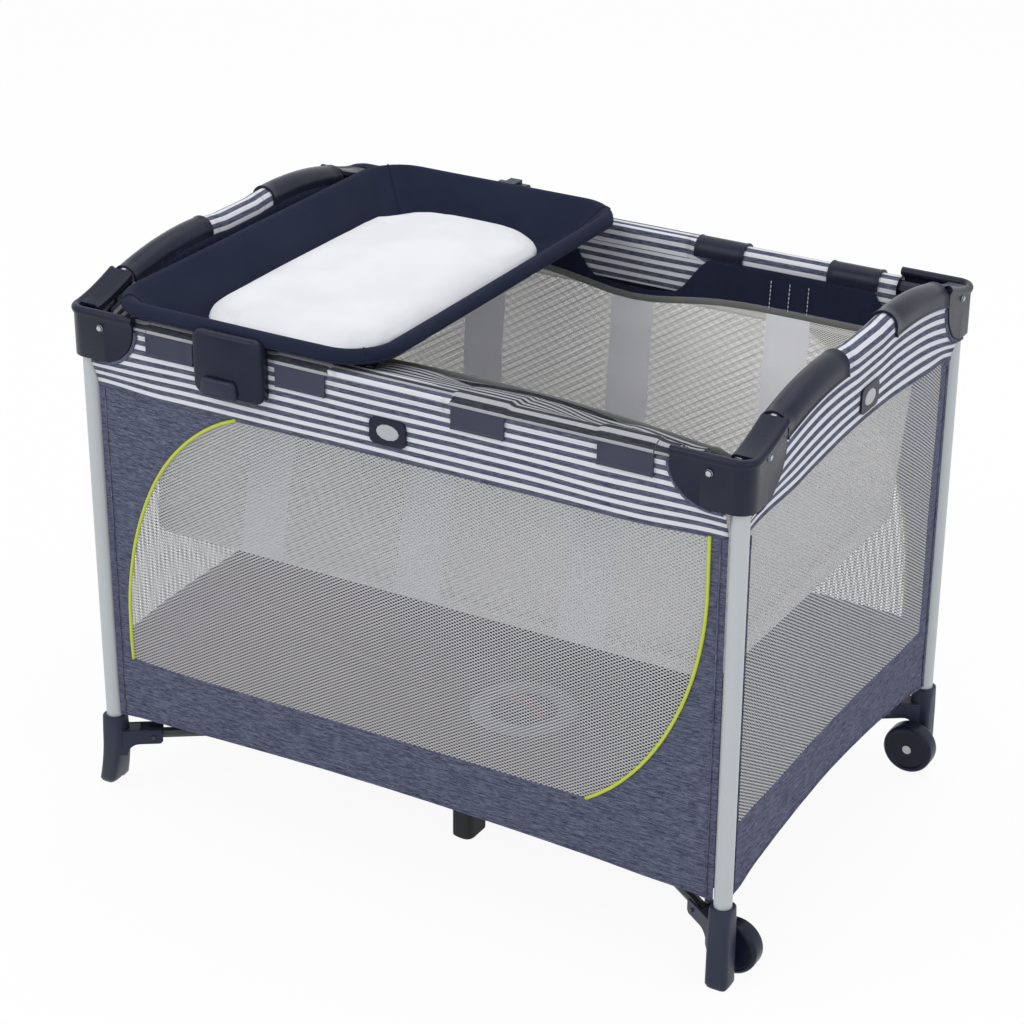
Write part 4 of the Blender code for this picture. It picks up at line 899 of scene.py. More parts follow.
def open_for_button(piece, side, made, grid):
    """Leaves a band open behind its lock's bezel, where the button goes in."""
    low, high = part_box(f"button_{side.name}")
    reach = abs((high - low).dot(side.along)) / 2 + BUTTON_ROOM[0]
    bottom, top = low.z - BUTTON_ROOM[1], high.z + BUTTON_ROOM[1]
    inside = set()
    for verts, places in zip(made, grid):
        inside.update(vert for vert, (s, z) in zip(verts, places) if abs(s) < reach and bottom < z < top)
    faces = [face for face in piece.mesh.faces if all(vert in inside for vert in face.verts)]
    bmesh.ops.delete(piece.mesh, geom=faces, context="FACES")


def make_band(side):
    """The striped band that hangs from a rail's sleeve down to the panel."""
    piece = Cloth(f"{side.name}_band", [STRIPES])
    grid = []
    for f in spread(0.0, 1.0, 24):
        row = []
        for s in spread(-side.end, side.end, 81):
            under_cap = eased((abs(s) - side.cap_tip + 0.004) / CAP_TUCK)
            top = side.rail(s) - SLEEVE_SEAM - CAP_TUCK * under_cap
            row.append((s, between(side.band_low(s) - BAND_TUCK, top, f)))
        grid.append(row)
    points = [[side.point(s, band_out(side, s, z) + BAND_PROUD, z) for s, z in row] for row in grid]
    made = piece.patch(points, band_uvs(side, grid))
    open_for_button(piece, side, made, grid)
    band = piece.done(WALL_BODY[side.name], thickness=CLOTH)
    height = side.rail(0.5 * side.half) - SLEEVE_SEAM - side.band_low(0.5 * side.half)
    fold_up(band)


def sleeve_section(side, s):
    """Points over the rail from the outside to the inside, boxed out over the lock."""
    rail = side.rail(s)
    over_lock = eased((side.lock_end + LOCK_BLEND - abs(s)) / LOCK_BLEND) if side.long else 0.0
    squareness = 2.0 + 4.0 * over_lock
    section = []
    for turn in spread(*SLEEVE_TURNS, 25):
        c, q = math.cos(turn), math.sin(turn)
        across = math.copysign(abs(c) ** (2 / squareness) if q > 0 else 1.0, c)
        up = abs(q) ** (2 / squareness) if q > 0 else q
        section.append((SLEEVE * across, rail + SLEEVE * up))
    return section


def make_sleeves(side):
    """The band's cloth round the rail: one length on each half rail and one on the lock."""
    spans = {
        side.body_at(-1): (-side.sleeve_end, -side.lock_end, 33),
        f"{side.name}_lock": (-side.lock_end, side.lock_end, 21),
        side.body_at(1): (side.lock_end, side.sleeve_end, 33),
    }
    for body, (start, end, count) in spans.items():
        piece = Cloth(f"{body}_sleeve", [STRIPES])
        rows, uvs = [], []
        for s in spread(start, end, count):
            section = sleeve_section(side, s)
            across = band_v(side, s, side.rail(s) - SLEEVE_SEAM)
            row, uv = [], []
            for i, (n, z) in enumerate(section):
                if i:
                    across += math.hypot(n - section[i - 1][0], z - section[i - 1][1])
                pucker = SLEEVE_PUCKER * ripple(30 * s, 40 * n, 40 * z)
                row.append(side.point(s, n * (1 + pucker / SLEEVE), z))
                uv.append((s, across))
            rows.append(row)
            uvs.append(uv)
        piece.patch(rows, uvs)
        sleeve = piece.done(body, thickness=CLOTH)


def make_inner_band(side):
    """The band's inner layer, from the rail's sleeve down to its lower edge."""
    piece = Cloth(f"{side.name}_inner_band", [STRIPES])
    end = side.half - INNER_MARGIN
    grid, points = [], []
    for f in spread(0.0, 1.0, 9):
        places = spread(-end, end, 61)
        row = [(s, between(side.band_low(s), side.rail(s) - INNER_DROP, f)) for s in places]
        points.append([side.point(s, INNER_BAND + 0.010 * eased((0.69 - z) / 0.03), z) for s, z in row])
        grid.append(row)
    piece.patch(points, band_uvs(side, grid))
    band = piece.done(WALL_BODY[side.name], thickness=CLOTH)
    height = side.rail(0.5 * end) - side.band_low(0.5 * end)
    fold_up(band)


def make_bindings(side):
    """Denim binding where the band is cut away round the caps, and seams by the posts and the hem."""
    reach, sweep = (CAP_ARM_LONG, LONG_SWEEP) if side.long else (CAP_ARM_SHORT, SHORT_SWEEP)
    centre, middle_z = side.half - reach + sweep[0], CAP_BOTTOM + sweep[1]
    length, height = sweep[0] + BINDING_OUT, sweep[1] + BINDING_OUT
    piece = Cloth(f"{side.name}_bindings", [DENIM])
    for half in (-1, 1):
        turns = spread(math.radians(88), 0.0, 14)
        path = [(centre - length * math.sin(a), middle_z - height * math.cos(a)) for a in turns]
        path.append((side.end - 0.002, middle_z - height))
        add_tube(piece, [side.point(half * s, SLEEVE + CLOTH, z) for s, z in path], BINDING_OUT, 8)
        seam = half * (side.end - SEAM_INSET)
        heights = spread(side.hem(seam) + 0.004, BAND_LOW, 20)
        add_tube(piece, [side.point(seam, panel_out(side, seam, z) + 0.0008, z) for z in heights], SEAM, 6)
    hem = [(s, side.hem(s) + 0.002) for s in spread(0.002 - side.end, side.end - 0.002, 60)]
    add_tube(piece, [side.point(s, panel_out(side, s, z), z) for s, z in hem], HEM_CORD, 8)
    fold_up(piece.done(WALL_BODY[side.name]))


def make_piping(side):
    """Lime piping down the window's two curved sides."""
    for index, word in enumerate(("left", "right")):
        path = []
        for f in spread(0.0, 1.0, 48):
            s = window_edges(side, between(WINDOW_LOW, BAND_LOW, f))[index]
            z = between(window_low(side, s), side.band_low(s), f)
            path.append(side.point(s, panel_out(side, s, z) + PIPING / 2, z))
        piping = tube(f"{side.name}_piping_{word}", path, PIPING, LIME, WALL_BODY[side.name], 8)
        fold_up(piping)


def clip_outline(side, s, swell):
    """A clip's section over the rail: its outer face with a lip below, then its inner face."""
    rail, drop = side.rail(s), CLIP_DROP[side.name]
    radius, lip = CLIP_OUTER + swell, CLIP_OUTER + swell + CLIP_LIP
    outer = [(lip, -drop), (lip, CLIP_BEAD - drop), (radius, 2 * CLIP_BEAD - drop)]
    outer += [(radius * math.cos(a), radius * math.sin(a)) for a in spread(0.0, CLIP_WRAP, 15)]
    inner = [(CLIP_INNER * math.cos(a), CLIP_INNER * math.sin(a)) for a in spread(CLIP_WRAP, 0.0, 15)]
    inner += [(CLIP_INNER, bead * CLIP_BEAD - drop) for bead in (2, 1, 0)]
    return [side.point(s, n, rail + z) for n, z in outer + inner]


def make_clips(side):
    """The moulded clips that hook the bassinet over a rail."""
    # The front side's clips are paler as painted light; the other sides' clips are plain navy
    piece = Cloth(f"{side.name}_clips", [LIT_FRONT_CLIP if side.name == "front" else NAVY])
    for half in (-1, 1):
        for start, end in LONG_CLIPS if side.long else SHORT_CLIPS:
            places = [start, start + CLIP_BEAD, *spread(start + 2 * CLIP_BEAD, end - 2 * CLIP_BEAD, 12)]
            places += [end - CLIP_BEAD, end]
            swells = [CLIP_SWELL] * 2 + [0.0] * 12 + [CLIP_SWELL] * 2
            sections = [clip_outline(side, half * s, swell) for s, swell in zip(places, swells)]
            add_section_loft(piece, sections)
    clips = piece.done("bassinet_unit", [f"clip_strip_{side.name}"])
    soften(clips, 0.0007)


def basket_top(x, w_front, w_back):
    """Height of the bassinet's bound edge, from the shares of the front and back sides."""
    front = FLAP_LOW + 0.003 * math.sin(9 * x + 1)
    back = BACK_EDGE - BACK_DIP[0] * math.exp(-(x / BACK_DIP[1]) ** 2)
    return w_front * front + w_back * back + (1 - w_front - w_back) * SIDE_EDGE


def flap_bow(x):
    return FLAP_BOW * (1 - min(abs(x) / BASKET_STRAIGHT, 1.0) ** 3)


def basket_loop(half_x, front, back, corner, bowed=False):
    """Places round the basket from its front left: (x, y, share of front, share of back)."""
    xs = sorted({round(x, 5) for x in spread(-BASKET_STRAIGHT, BASKET_STRAIGHT, 29)} | STRIP_EDGES)
    ys = spread(front + corner + 0.01, back - corner - 0.01, 15)
    right, low, high = half_x - corner, front + corner, back - corner

    def arc(quarter, x, y, shares):
        for f in spread(0.0, 1.0, 7):
            a = math.pi / 2 * (f + quarter)
            loop.append((x + corner * math.cos(a), y + corner * math.sin(a), *shares(f)))

    loop = [(x, front + bowed * flap_bow(x), 1.0, 0.0) for x in xs]
    arc(-1, right, low, lambda f: (1 - f, 0.0))
    loop += [(half_x, y, 0.0, 0.0) for y in ys]
    arc(0, right, high, lambda f: (0.0, f))
    loop += [(x, back, 0.0, 1.0) for x in reversed(xs)]
    arc(1, -right, high, lambda f: (0.0, 1 - f))
    loop += [(-half_x, y, 0.0, 0.0) for y in reversed(ys)]
    arc(2, -right, low, lambda f: (f, 0.0))
    return loop


def basket_edges():
    """The bassinet's bound top edge and its bottom edge, as loops of equally many points."""
    half_x, half_y = BASKET_HIGH.x - BASKET_INSET, BASKET_HIGH.y - BASKET_INSET
    low_y = half_y - BASKET_TAPER
    top = basket_loop(half_x, -HALF_WIDTH + FLAP_REACH, half_y, BASKET_CORNERS[0], True)
    low = basket_loop(half_x - BASKET_TAPER, -low_y, low_y, BASKET_CORNERS[1])
    upper = [Vector((x, y, basket_top(x, f, b))) for x, y, f, b in top]
    lower = [Vector((x, y, BASKET_LOW.z + 0.002)) for x, y, _, _ in low]
    return top, upper, lower


def make_bassinet():
    """Mesh walls with grey tapes, then a cloth base and a bound edge."""
    loop, upper, lower = basket_edges()
    count = len(loop)
    around, travelled = [], 0.0
    for j in range(count + 1):
        around.append(travelled)
        travelled += (upper[(j + 1) % count] - upper[j % count]).length
    piece = Cloth("bassinet_walls", [BASKET_NET, GREY_TAPE])
    rows, uvs = [], []
    for f in spread(0.0, 1.0, 13):
        row = []
        for (_, _, w_front, w_back), a, b in zip(loop, upper, lower):
            point = a.lerp(b, f)
            slack = BASKET_SLACK * math.sin(math.pi * f) * ripple(5 * point.x, 5 * point.y, 6 * f)
            row.append(point + slack * Vector((0, 1, 0)) * (w_front + w_back))
        rows.append(row)
        uvs.append([(u, p.z) for u, p in zip(around, row + row[:1])])
    made = piece.patch(rows, uvs, closed=True)
    for upper_row, lower_row in zip(made, made[1:]):
        for j in range(count - 1):
            first, second = loop[j], loop[j + 1]
            straight = first[2] == second[2] == 1.0 or first[3] == second[3] == 1.0
            middle_x = (first[0] + second[0]) / 2
            if straight and any(abs(middle_x - c) < STRIP_HALF for c in STRIP_CENTRES):
                for face in upper_row[j].link_faces:
                    if upper_row[j + 1] in face.verts and lower_row[j] in face.verts:
                        face.material_index = 1
    walls = piece.done("bassinet_unit", ["bassinet"])
    make_bassinet_base(lower)
    make_bassinet_binding(loop, upper, around)


def make_bassinet_base(lower):
    piece = Cloth("bassinet_base", [GREY_TAPE])
    centre = Vector((0, 0, BASKET_LOW.z + 0.001))
    rows = [[centre.lerp(p, f) for p in lower] for f in (1.0, 0.75, 0.5, 0.25, 0.02)]
    piece.patch(rows, [[(p.x, p.y) for p in row + row[:1]] for row in rows], closed=True)
    base = piece.done("bassinet_unit", thickness=CLOTH)


def make_bassinet_binding(loop, upper, around):
    """The dotted binding, an oval section along the bassinet's top edge."""
    piece = Cloth("bassinet_binding", [BINDING])
    thick, tall = EDGE_BINDING
    rows = []
    for turn in spread(0, 2 * math.pi, 11):
        row = []
        for p, (_, _, w_front, w_back) in zip(upper, loop):
            inward_x = -(1 - w_front - w_back) * math.copysign(thick, p.x)
            inward_y = (w_front - w_back) * thick
            c, q = math.cos(turn), math.sin(turn)
            row.append(p + Vector((inward_x * c, inward_y * c, tall * q)))
        rows.append(row)
    piece.patch(rows, [[(u, tall * k) for u in around] for k in range(len(rows))], closed=True)
    piece.done("bassinet_unit")


def flap_lift(s):
    """Height of the flap above the rail's axis: more over the clips."""
    over = max(eased((0.046 - abs(abs(s) - sum(span) / 2)) / 0.008) for span in LONG_CLIPS)
    return between(SLEEVE + FLAP_GAP, CLIP_OUTER + CLOTH, over)


def tray_height(x, y):
    """Height of the changer's tray over a place, level with its tube beside it."""
    aside = [half - abs(p - middle_p) for half, p, middle_p in zip(CHANGER_HALF, (x, y), CHANGER_CENTRE)]
    return CHANGER_HEIGHT - CHANGER_DEPTH * limited(min(aside) / TRAY_SLOPE)


def make_flap():
    """The slack striped flap over the front rail and down to the bassinet's bound edge."""
    side = SIDES["front"]
    # The flap is the band's striped cloth, darkened as painted shade
    piece = Cloth("front_flap", [SHADED_FLAP_STRIPES])
    turns = spread(*FLAP_TURNS, 6)
    shares = spread(0.0, 1.0, 17)[1:]
    rows = [[] for _ in range(len(turns) + len(shares))]
    places = spread(-LINING_END, LINING_END, 111)
    for s in places:
        lift = flap_lift(s)
        over = [(lift * math.cos(a), LONG_RAIL + lift * math.sin(a)) for a in turns]
        end = (-FLAP_REACH - flap_bow(s), basket_top(s, 1.0, 0.0))
        for f in shares:
            slack = math.sin(math.pi * f)
            n, z = (between(over[-1][k], end[k], f) for k in (0, 1))
            z += slack * (FLAP_SLACK * math.sin(8 * f + 5 * ripple(3.4 * s, 1.7 * f, 0.3)) - FLAP_SAG)
            z += slack * FLAP_RIPPLE * ripple(14 * s, 5 * f, 2.2)
            over.append((n, min(z, tray_height(s, -HALF_WIDTH - n) - FLAP_UNDER)))
        for row, (n, z) in zip(rows, over):
            row.append(side.point(s, n, z))
    uvs, across = [], 0.0
    mid = len(places) // 2
    for i, row in enumerate(rows):
        across += (row[mid] - rows[i - 1][mid]).length if i else 0.0
        uvs.append([(s, across) for s in places])
    piece.patch(rows, uvs)
    flap = piece.done("bassinet_unit", thickness=CLOTH)


def basket_side(side):
    """Where the bassinet's wall stands, outwards from a rail's axis."""
    if side.long:
        return BASKET_HIGH.y - BASKET_INSET - HALF_WIDTH
    return BASKET_HIGH.x - BASKET_INSET - HALF_LENGTH


def lining_top(side, s):
    """Upper edge of a side's navy lining, scooped out between the clips of the back."""
    full = side.rail(s) - LINING_DROP
    if not side.long:
        return full
    end = eased((LINING_END - abs(s)) / 0.035)
    scoop = eased((abs(s) - LINING_SCOOP) / LINING_SCOOP)
    return between(basket_top(s, 0.0, 1.0) + LINING_LEAST, full, scoop * end)


def make_lining(side):
    """The navy cloth between the bassinet's bound edge and the clips over a rail."""
    end = LINING_END if side.long else SHORT_LINING_END
    piece = Cloth(f"{side.name}_lining", [NAVY_CLOTH])
    rows, uvs = [], []
    for f in spread(0.0, 1.0, 11):
        row, places = [], []
        for s in spread(-end, end, 121):
            low = basket_top(s, 0.0, 1.0) if side.long else SIDE_EDGE
            z = between(low, lining_top(side, s), f)
            fold = math.sin(2 * math.pi * s / PLEAT_PITCH + 2 * ripple(9 * s, 0, 1))
            pleat = PLEAT_DEPTH * fold * math.sin(math.pi * f)
            row.append(side.point(s, between(basket_side(side), LINING_OUT, f) + pleat, z))
            places.append((s, z))
        rows.append(row)
        uvs.append(places)
    piece.patch(rows, uvs)
    lining = piece.done("bassinet_unit", thickness=CLOTH)


def make_stitches():
    """Dashed white stitching down the back lining, over each grey tape."""
    side = SIDES["back"]
    piece = Cloth("lining_stitches", [THREAD])
    for s in [centre + aside for centre in STRIP_CENTRES for aside in STITCH_ROWS]:
        low, top = basket_top(s, 0.0, 1.0) + 0.003, lining_top(side, s)
        z = low
        while z + STITCH < min(top - 0.012, STITCH_TOP):
            n = between(basket_side(side), LINING_OUT, (z - low) / (top - low)) - 0.0022
            add_tube(piece, [side.point(s, n, z), side.point(s, n, z + STITCH)], STITCH_THREAD, 6)
            z += 1.5 * STITCH
    piece.done("bassinet_unit")


def sewn_pad(name, material, body, node, centre, half, corner, base, thickness):
    """A closed pad with full sides and a crowned top, swelled by a short cloth simulation."""
    loops = []
    for inset, rise in PAD_SIDE:
        size = (half[0] - inset, half[1] - inset)
        loop = []
        for x, y in rounded_loop(centre, size, max(corner - inset, 0.006)):
            u, v = (x - centre[0]) / size[0], (y - centre[1]) / size[1]
            full = (x + PAD_BULGE * u * (1 - v * v), y + PAD_BULGE * v * (1 - u * u))
            loop.append(Vector((*full, base + rise * thickness)))
        loops.append(loop)
    pad = stacked(name, material, loops, body, node)
    swell(pad)


def swell(pad):
    """Evens the faces, then swells the pad by a cloth simulation under pressure, held to a small give."""
    remesh = pad.modifiers.new("even", "REMESH")
    remesh.mode = "VOXEL"
    remesh.voxel_size = PAD_VOXEL
    pad.data = evaluated(pad)
    pad.modifiers.clear()
    rest = [v.co.copy() for v in pad.data.vertices]
    cloth_modifier = pad.modifiers.new("swell", "CLOTH")
    settings = cloth_modifier.settings
    settings.use_pressure = True
    settings.uniform_pressure_force = PAD_PRESSURE
    settings.effector_weights.gravity = 0.0
    for step in range(1, PAD_STEPS + 1):
        bpy.context.scene.frame_set(step)
    swollen = evaluated(pad)
    pad.modifiers.clear()
    for vertex, start, end in zip(pad.data.vertices, rest, swollen.vertices):
        moved = end.co - start
        moved.length = min(moved.length, PAD_GIVE)
        vertex.co = start + moved
    bpy.context.scene.frame_set(1)
    pad.data.shade_smooth()
    smooth = pad.modifiers.new("smooth", "SUBSURF")
    smooth.levels = smooth.render_levels = 1


def make_mattress():
    low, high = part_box("bassinet_mattress")
    centre = ((low.x + high.x) / 2, (low.y + high.y) / 2)
    half = ((high.x - low.x) / 2 - MATTRESS_GAP, (high.y - low.y) / 2 - MATTRESS_GAP)
    sewn_pad("mattress_soft", MATTRESS, "bassinet_unit", "bassinet_mattress",
             centre, half, MATTRESS_CORNER, low.z + 0.001, high.z - low.z - 0.004)


def floor_height(x, y):
    """The slack floor: it meets the walls above their hems and dips to the hub."""
    along_x, along_y = abs(x / HALF_LENGTH) ** 3, abs(y / HALF_WIDTH) ** 3
    edge_y = SIDES["front"].hem(x) + FLOOR_LIFT - HUB_TOP
    edge_x = SIDES["left"].hem(y) + FLOOR_LIFT - HUB_TOP
    corner = HEM_CORNER + FLOOR_LIFT - HUB_TOP
    middle_z = HUB_TOP + 0.002 + FLOOR_WAVE * ripple(6 * x, 6 * y, 3.0) * (1 - along_x)
    return middle_z + edge_y * along_y + edge_x * along_x - corner * along_x * along_y


def floor_edge(span):
    """Places along a floor quarter's outer edge, round its corner."""
    turn_x, turn_y = span[0] - FLOOR_CORNER, span[1] - FLOOR_CORNER
    edge = [(span[0], y) for y in spread(0.0, turn_y, 14)]
    for turn in spread(0.0, math.pi / 2, 8)[1:-1]:
        edge.append((turn_x + FLOOR_CORNER * math.cos(turn), turn_y + FLOOR_CORNER * math.sin(turn)))
    return edge + [(x, span[1]) for x in spread(turn_x, 0.0, 20)]


def make_floor():
    """The floor's four quarters, each carried by its floor leg, and the hub's ring and strap."""
    span = (HALF_LENGTH - FLOOR_GAP, HALF_WIDTH - FLOOR_GAP)
    edge = floor_edge(span)
    for corner in CORNERS:
        rows = []
        for f in spread(0.0, 1.0, 12):
            row = []
            for i, (x, y) in enumerate(edge):
                turn = math.pi / 2 * i / (len(edge) - 1)
                px = -corner.sx * between(HUB_HOLE * math.cos(turn), x, f)
                py = -corner.sy * between(HUB_HOLE * math.sin(turn), y, f)
                row.append(Vector((px, py, floor_height(px, py))))
            rows.append(row)
        piece = Cloth(f"floor_{corner.name}", [FLOOR_CLOTH])
        piece.patch(rows, [[(p.x, p.y) for p in row] for row in rows])
        replaced = ["floor_panel"] if corner is CORNERS[0] else []
        quarter = piece.done(f"floor_leg_{corner.name}", replaced, CLOTH)
        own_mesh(quarter)
    make_hub_ring()
    make_strap()


def make_hub_ring():
    """The grey ring sewn round the hub's hole in the floor."""
    inner = HUB_HOLE - 0.004
    profile = [(inner, 0.0005), (inner, 0.0052), (HUB_HOLE + 0.002, 0.0064)]
    profile += [(HUB_RING - 0.002, 0.0064), (HUB_RING, 0.0045), (HUB_RING, 0.0036)]
    ring = Cloth("hub_ring", [RING])
    add_loops(ring, [
        [Vector((r * math.cos(a), r * math.sin(a), HUB_TOP + z)) for a in turns_of(64)] for r, z in profile])
    ring.done("hub")


def make_strap():
    """The red webbing loop that pulls the hub up."""
    piece = Cloth("pull_strap_loop", [RED])
    low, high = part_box("pull_strap")
    half_x, rise, half_y = (high.x - low.x) / 2, high.z - low.z, (high.y - low.y) / 2
    rows = []
    for turn in spread(0.0, math.pi, 25):
        x, z = -half_x * math.cos(turn), low.z + rise * math.sin(turn) * STRAP_RISE
        rows.append([Vector((x, y + 0.004 * math.sin(2 * turn), z)) for y in spread(-half_y, half_y, 5)])
    piece.patch(rows, [[(0.1 * i / 24, p.y) for p in row] for i, row in enumerate(rows)])
    strap = piece.done("hub", ["pull_strap"], STRAP_THICKNESS)


def changer_loop(out, z):
    """A ring of the tray, outwards and up from its tube's axis, with creases down its slopes."""
    half = [size + out for size in CHANGER_HALF]
    corner = min(max(CHANGER_CORNER + out, TRAY_CORNER), half[0])
    depth = eased((-0.012 - out) / 0.02) * eased((out + 0.075) / 0.03)
    loop = []
    for x, y in rounded_loop(CHANGER_CENTRE, half, corner, TRAY_TURNS, 22):
        u, v = (x - CHANGER_CENTRE[0]) / CHANGER_HALF[0], (y - CHANGER_CENTRE[1]) / CHANGER_HALF[1]
        near = math.exp(-((1 - min(abs(u), 1)) ** 2 * 5 + (1 - min(abs(v), 1)) ** 2 * 14))
        turn = math.atan2(v, u)
        crease = TRAY_CREASE * math.sin(46 * turn + 2.5 * math.sin(9 * turn)) * near * depth
        soft = 0.0014 * ripple(7 * x, 7 * y, 20 * z) * (0.3 + depth)
        soft += 0.0030 * ripple(5 * x, 24 * y, 3 * x) * depth
        loop.append(Vector((x, y, CHANGER_HEIGHT + z + crease + soft)))
    return loop


def make_changer():
    """The changer's sunken cloth tray, its tube, piping, pad and latch."""
    roll = CHANGER_ROLL
    profile = [(0.002, -0.0102), (0.0065, -0.0092), (0.0092, -0.0062), (roll, -0.0030)]
    profile += [(roll * math.cos(a), roll * math.sin(a)) for a in spread(0.0, math.radians(130), 9)]
    edge, foot = profile[-1], (-TRAY_SLOPE, 0.0016 - CHANGER_DEPTH)
    for f in spread(0.0, 1.0, 8)[1:]:
        sag = TRAY_SAG * math.sin(math.pi * f)
        profile.append((between(edge[0], foot[0], f) - sag, between(edge[1], foot[1], f) - sag))
    profile += [(out, -CHANGER_DEPTH) for out in TRAY_INSIDE]
    piece = Cloth("changer_tray", [NAVY_CLOTH])
    loops = [changer_loop(out, z) for out, z in profile]
    piece.cap(add_loops(piece, loops)[-1])
    tray = piece.done("changer", ["changer_cover"])
    make_changer_frame()
    make_tray_piping(loops)
    make_changer_pad()
    make_latch()


def make_changer_frame():
    """The changer's bent tube, and the two arms at its back that hold the hinge's pin."""
    piece = Cloth("changer_frame_tube", [NAVY])
    ring = rounded_loop(CHANGER_CENTRE, CHANGER_HALF, CHANGER_CORNER, 9, 8)
    add_tube(piece, [Vector((x, y, CHANGER_HEIGHT)) for x, y in ring], CHANGER_TUBE, 12, True)
    pivot = Vector(JOINTS["changer_flip"]["pos_m"])
    start = CHANGER_CENTRE[1] + CHANGER_HALF[1]
    outline = [(start, CHANGER_HEIGHT - pivot.z - 2 * HINGE_TOP), (start, HINGE_TOP), (pivot.y, HINGE_TOP)]
    for a in spread(0.0, math.pi, 9)[1:]:
        outline.append((pivot.y + 1.7 * HINGE_TOP * math.sin(a), HINGE_TOP * math.cos(a)))
    for hand in (-1, 1):
        add_section_loft(piece, [
            [Vector((pivot.x + hand * aside, y, pivot.z + z)) for y, z in outline] for aside in HINGE_ARMS])
    soften(piece.done("changer", ["changer_frame"]), 0.0008)


def make_tray_piping(loops):
    """Piping round the tray's rolled edge, and a seam down each of its corners."""
    piece = Cloth("changer_piping", [NAVY_CLOTH])
    add_tube(piece, changer_loop(CHANGER_ROLL - 0.0006, -0.0052), TRAY_CORD, 8, True)
    count = len(loops[0])
    slope = loops[SEAM_START:-len(TRAY_INSIDE)]
    for corner in range(TRAY_TURNS // 2, count, count // 4):
        add_tube(piece, [loop[corner] + Vector((0, 0, 0.0004)) for loop in slope], TRAY_SEAM, 8)
    piece.done("changer")


def make_changer_pad():
    half = (CHANGER_HALF[0] - PAD_EDGE + 0.004, CHANGER_HALF[1] - PAD_EDGE)
    centre = (CHANGER_CENTRE[0] + 0.004, CHANGER_CENTRE[1] - 0.006)
    base = CHANGER_HEIGHT - CHANGER_DEPTH + 0.0015
    sewn_pad("changer_pad_soft", PILE, "changer", "changer_pad",
             centre, half, PAD_CORNER, base, PAD_THICKNESS)


def latch_outline(half, low, high, corner, inset, lean=0.0):
    """(x, z) places round a plate, narrower at its top by a lean."""
    places = []
    for x, z in rounded_loop((0, (low + high) / 2), (half - inset, (high - low) / 2 - inset), corner, 7, 5):
        places.append((x * (1 - lean * (z - low) / (high - low)), z))
    return places


def make_latch():
    """The latch housing that hooks the changer over the front rail, and its release tab."""
    centre = middle("changer_latch_bracket").x
    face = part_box("changer_latch_bracket")[0].y
    loops = []
    for depth, inset in BRACKET_EDGE:
        loop = []
        for x, z in latch_outline(BRACKET_HALF, BRACKET_LOW, BRACKET_HIGH, BRACKET_CORNER - inset, inset):
            up = (z - BRACKET_LOW) / (BRACKET_HIGH - BRACKET_LOW)
            bow = 0.003 * (1 - (x / BRACKET_HALF) ** 2) + 0.002 * up
            loop.append(Vector((centre + x, face + depth - bow * (1 - depth / BRACKET_DEPTH), z)))
        loops.append(loop)
    stacked("latch_housing", NAVY, loops, "changer", "changer_latch_bracket")

    low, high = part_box("changer_latch_tab")
    centre = (low.x + high.x) / 2
    loops = []
    for depth, inset in TAB_EDGE:
        outline = latch_outline(TAB_HALF, low.z, high.z, TAB_CORNER, inset, TAB_LEAN)
        loops.append([
            Vector((centre + x, high.y + depth - 0.002 * (1 - (x / TAB_HALF) ** 2), z)) for x, z in outline])
    stacked("latch_tab_plate", NAVY_SATIN, loops, "latch_tab", "changer_latch_tab")


def make_posts():
    inner, bottom, top = POST_RADIUS - POST_WALL, POST_LOW.z, POST_HIGH.z
    profile = [(POST_RADIUS, bottom), (POST_RADIUS, top), (inner, top), (inner, bottom)]
    for corner in CORNERS:
        foot = Vector((corner.post.x, corner.post.y, 0))
        post = turned(f"post_tube_{corner.name}", foot, (0, 0, 1), profile, SILVER,
                      corner.body, [f"post_{corner.name}"])
        soften(post, 0.0004)


def make_wheels():
    """Wheels with flat, slightly sunk faces and a round tread."""
    for word in ("front", "back"):
        low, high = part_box(f"wheel_{word}")
        radius, half = (high.z - low.z) / 2, (high.y - low.y) / 2
        rim, sunk = WHEEL_RIM * radius, half - WHEEL_SUNK
        face = [(WHEEL_BORE, sunk), (0.5 * radius, sunk), (rim - 0.0012, sunk)]
        face += [(rim, half - 0.0006), (rim + 0.001, half)]
        for a in spread(0.0, math.pi / 2, 8):
            face.append((radius - WHEEL_ROUND * (1 - math.sin(a)), half - WHEEL_ROUND * (1 - math.cos(a))))
        profile = face + [(r, -along) for r, along in reversed(face)]
        wheel = turned(f"wheel_{word}_round", (low + high) / 2, (0, 1, 0), profile, NAVY,
                       f"{word}_wheel", [f"wheel_{word}"], 64)
        soften(wheel, 0.0004, angle=35)


def cap_rim(place):
    """Height of the short arm's rim at a distance from the post."""
    return CAP_TOP + CAP_RISE * (max(place, 0) / CAP_ARM_SHORT) ** CAP_RISE_POWER


def cap_arm(reach, sweep):
    """Places along an arm of a cap from its tip, each with its lower edge."""
    arm = []
    for turn in spread(math.pi / 2, 0.0, 12):
        arm.append((reach - sweep[0] * (1 - math.sin(turn)), CAP_BOTTOM + sweep[1] * (1 - math.cos(turn))))
    return arm


def cap_stations():
    """Places along a cap's outer face: (u, v), outward direction, lower edge and top."""
    long_arm, short_arm = cap_arm(CAP_ARM_LONG, LONG_SWEEP), cap_arm(CAP_ARM_SHORT, SHORT_SWEEP)
    stations = [((place, -CAP_FACE), (0, -1), low, CAP_TOP) for place, low in long_arm]
    bend = CAP_ROUND - CAP_FACE
    for turn in spread(0, math.pi / 2, 10):
        facing = (-math.sin(turn), -math.cos(turn))
        place = (bend + CAP_ROUND * facing[0], bend + CAP_ROUND * facing[1])
        stations.append((place, facing, CAP_BOTTOM, CAP_TOP))
    stations += [((-CAP_FACE, place), (-1, 0), low, cap_rim(place)) for place, low in reversed(short_arm)]
    return stations


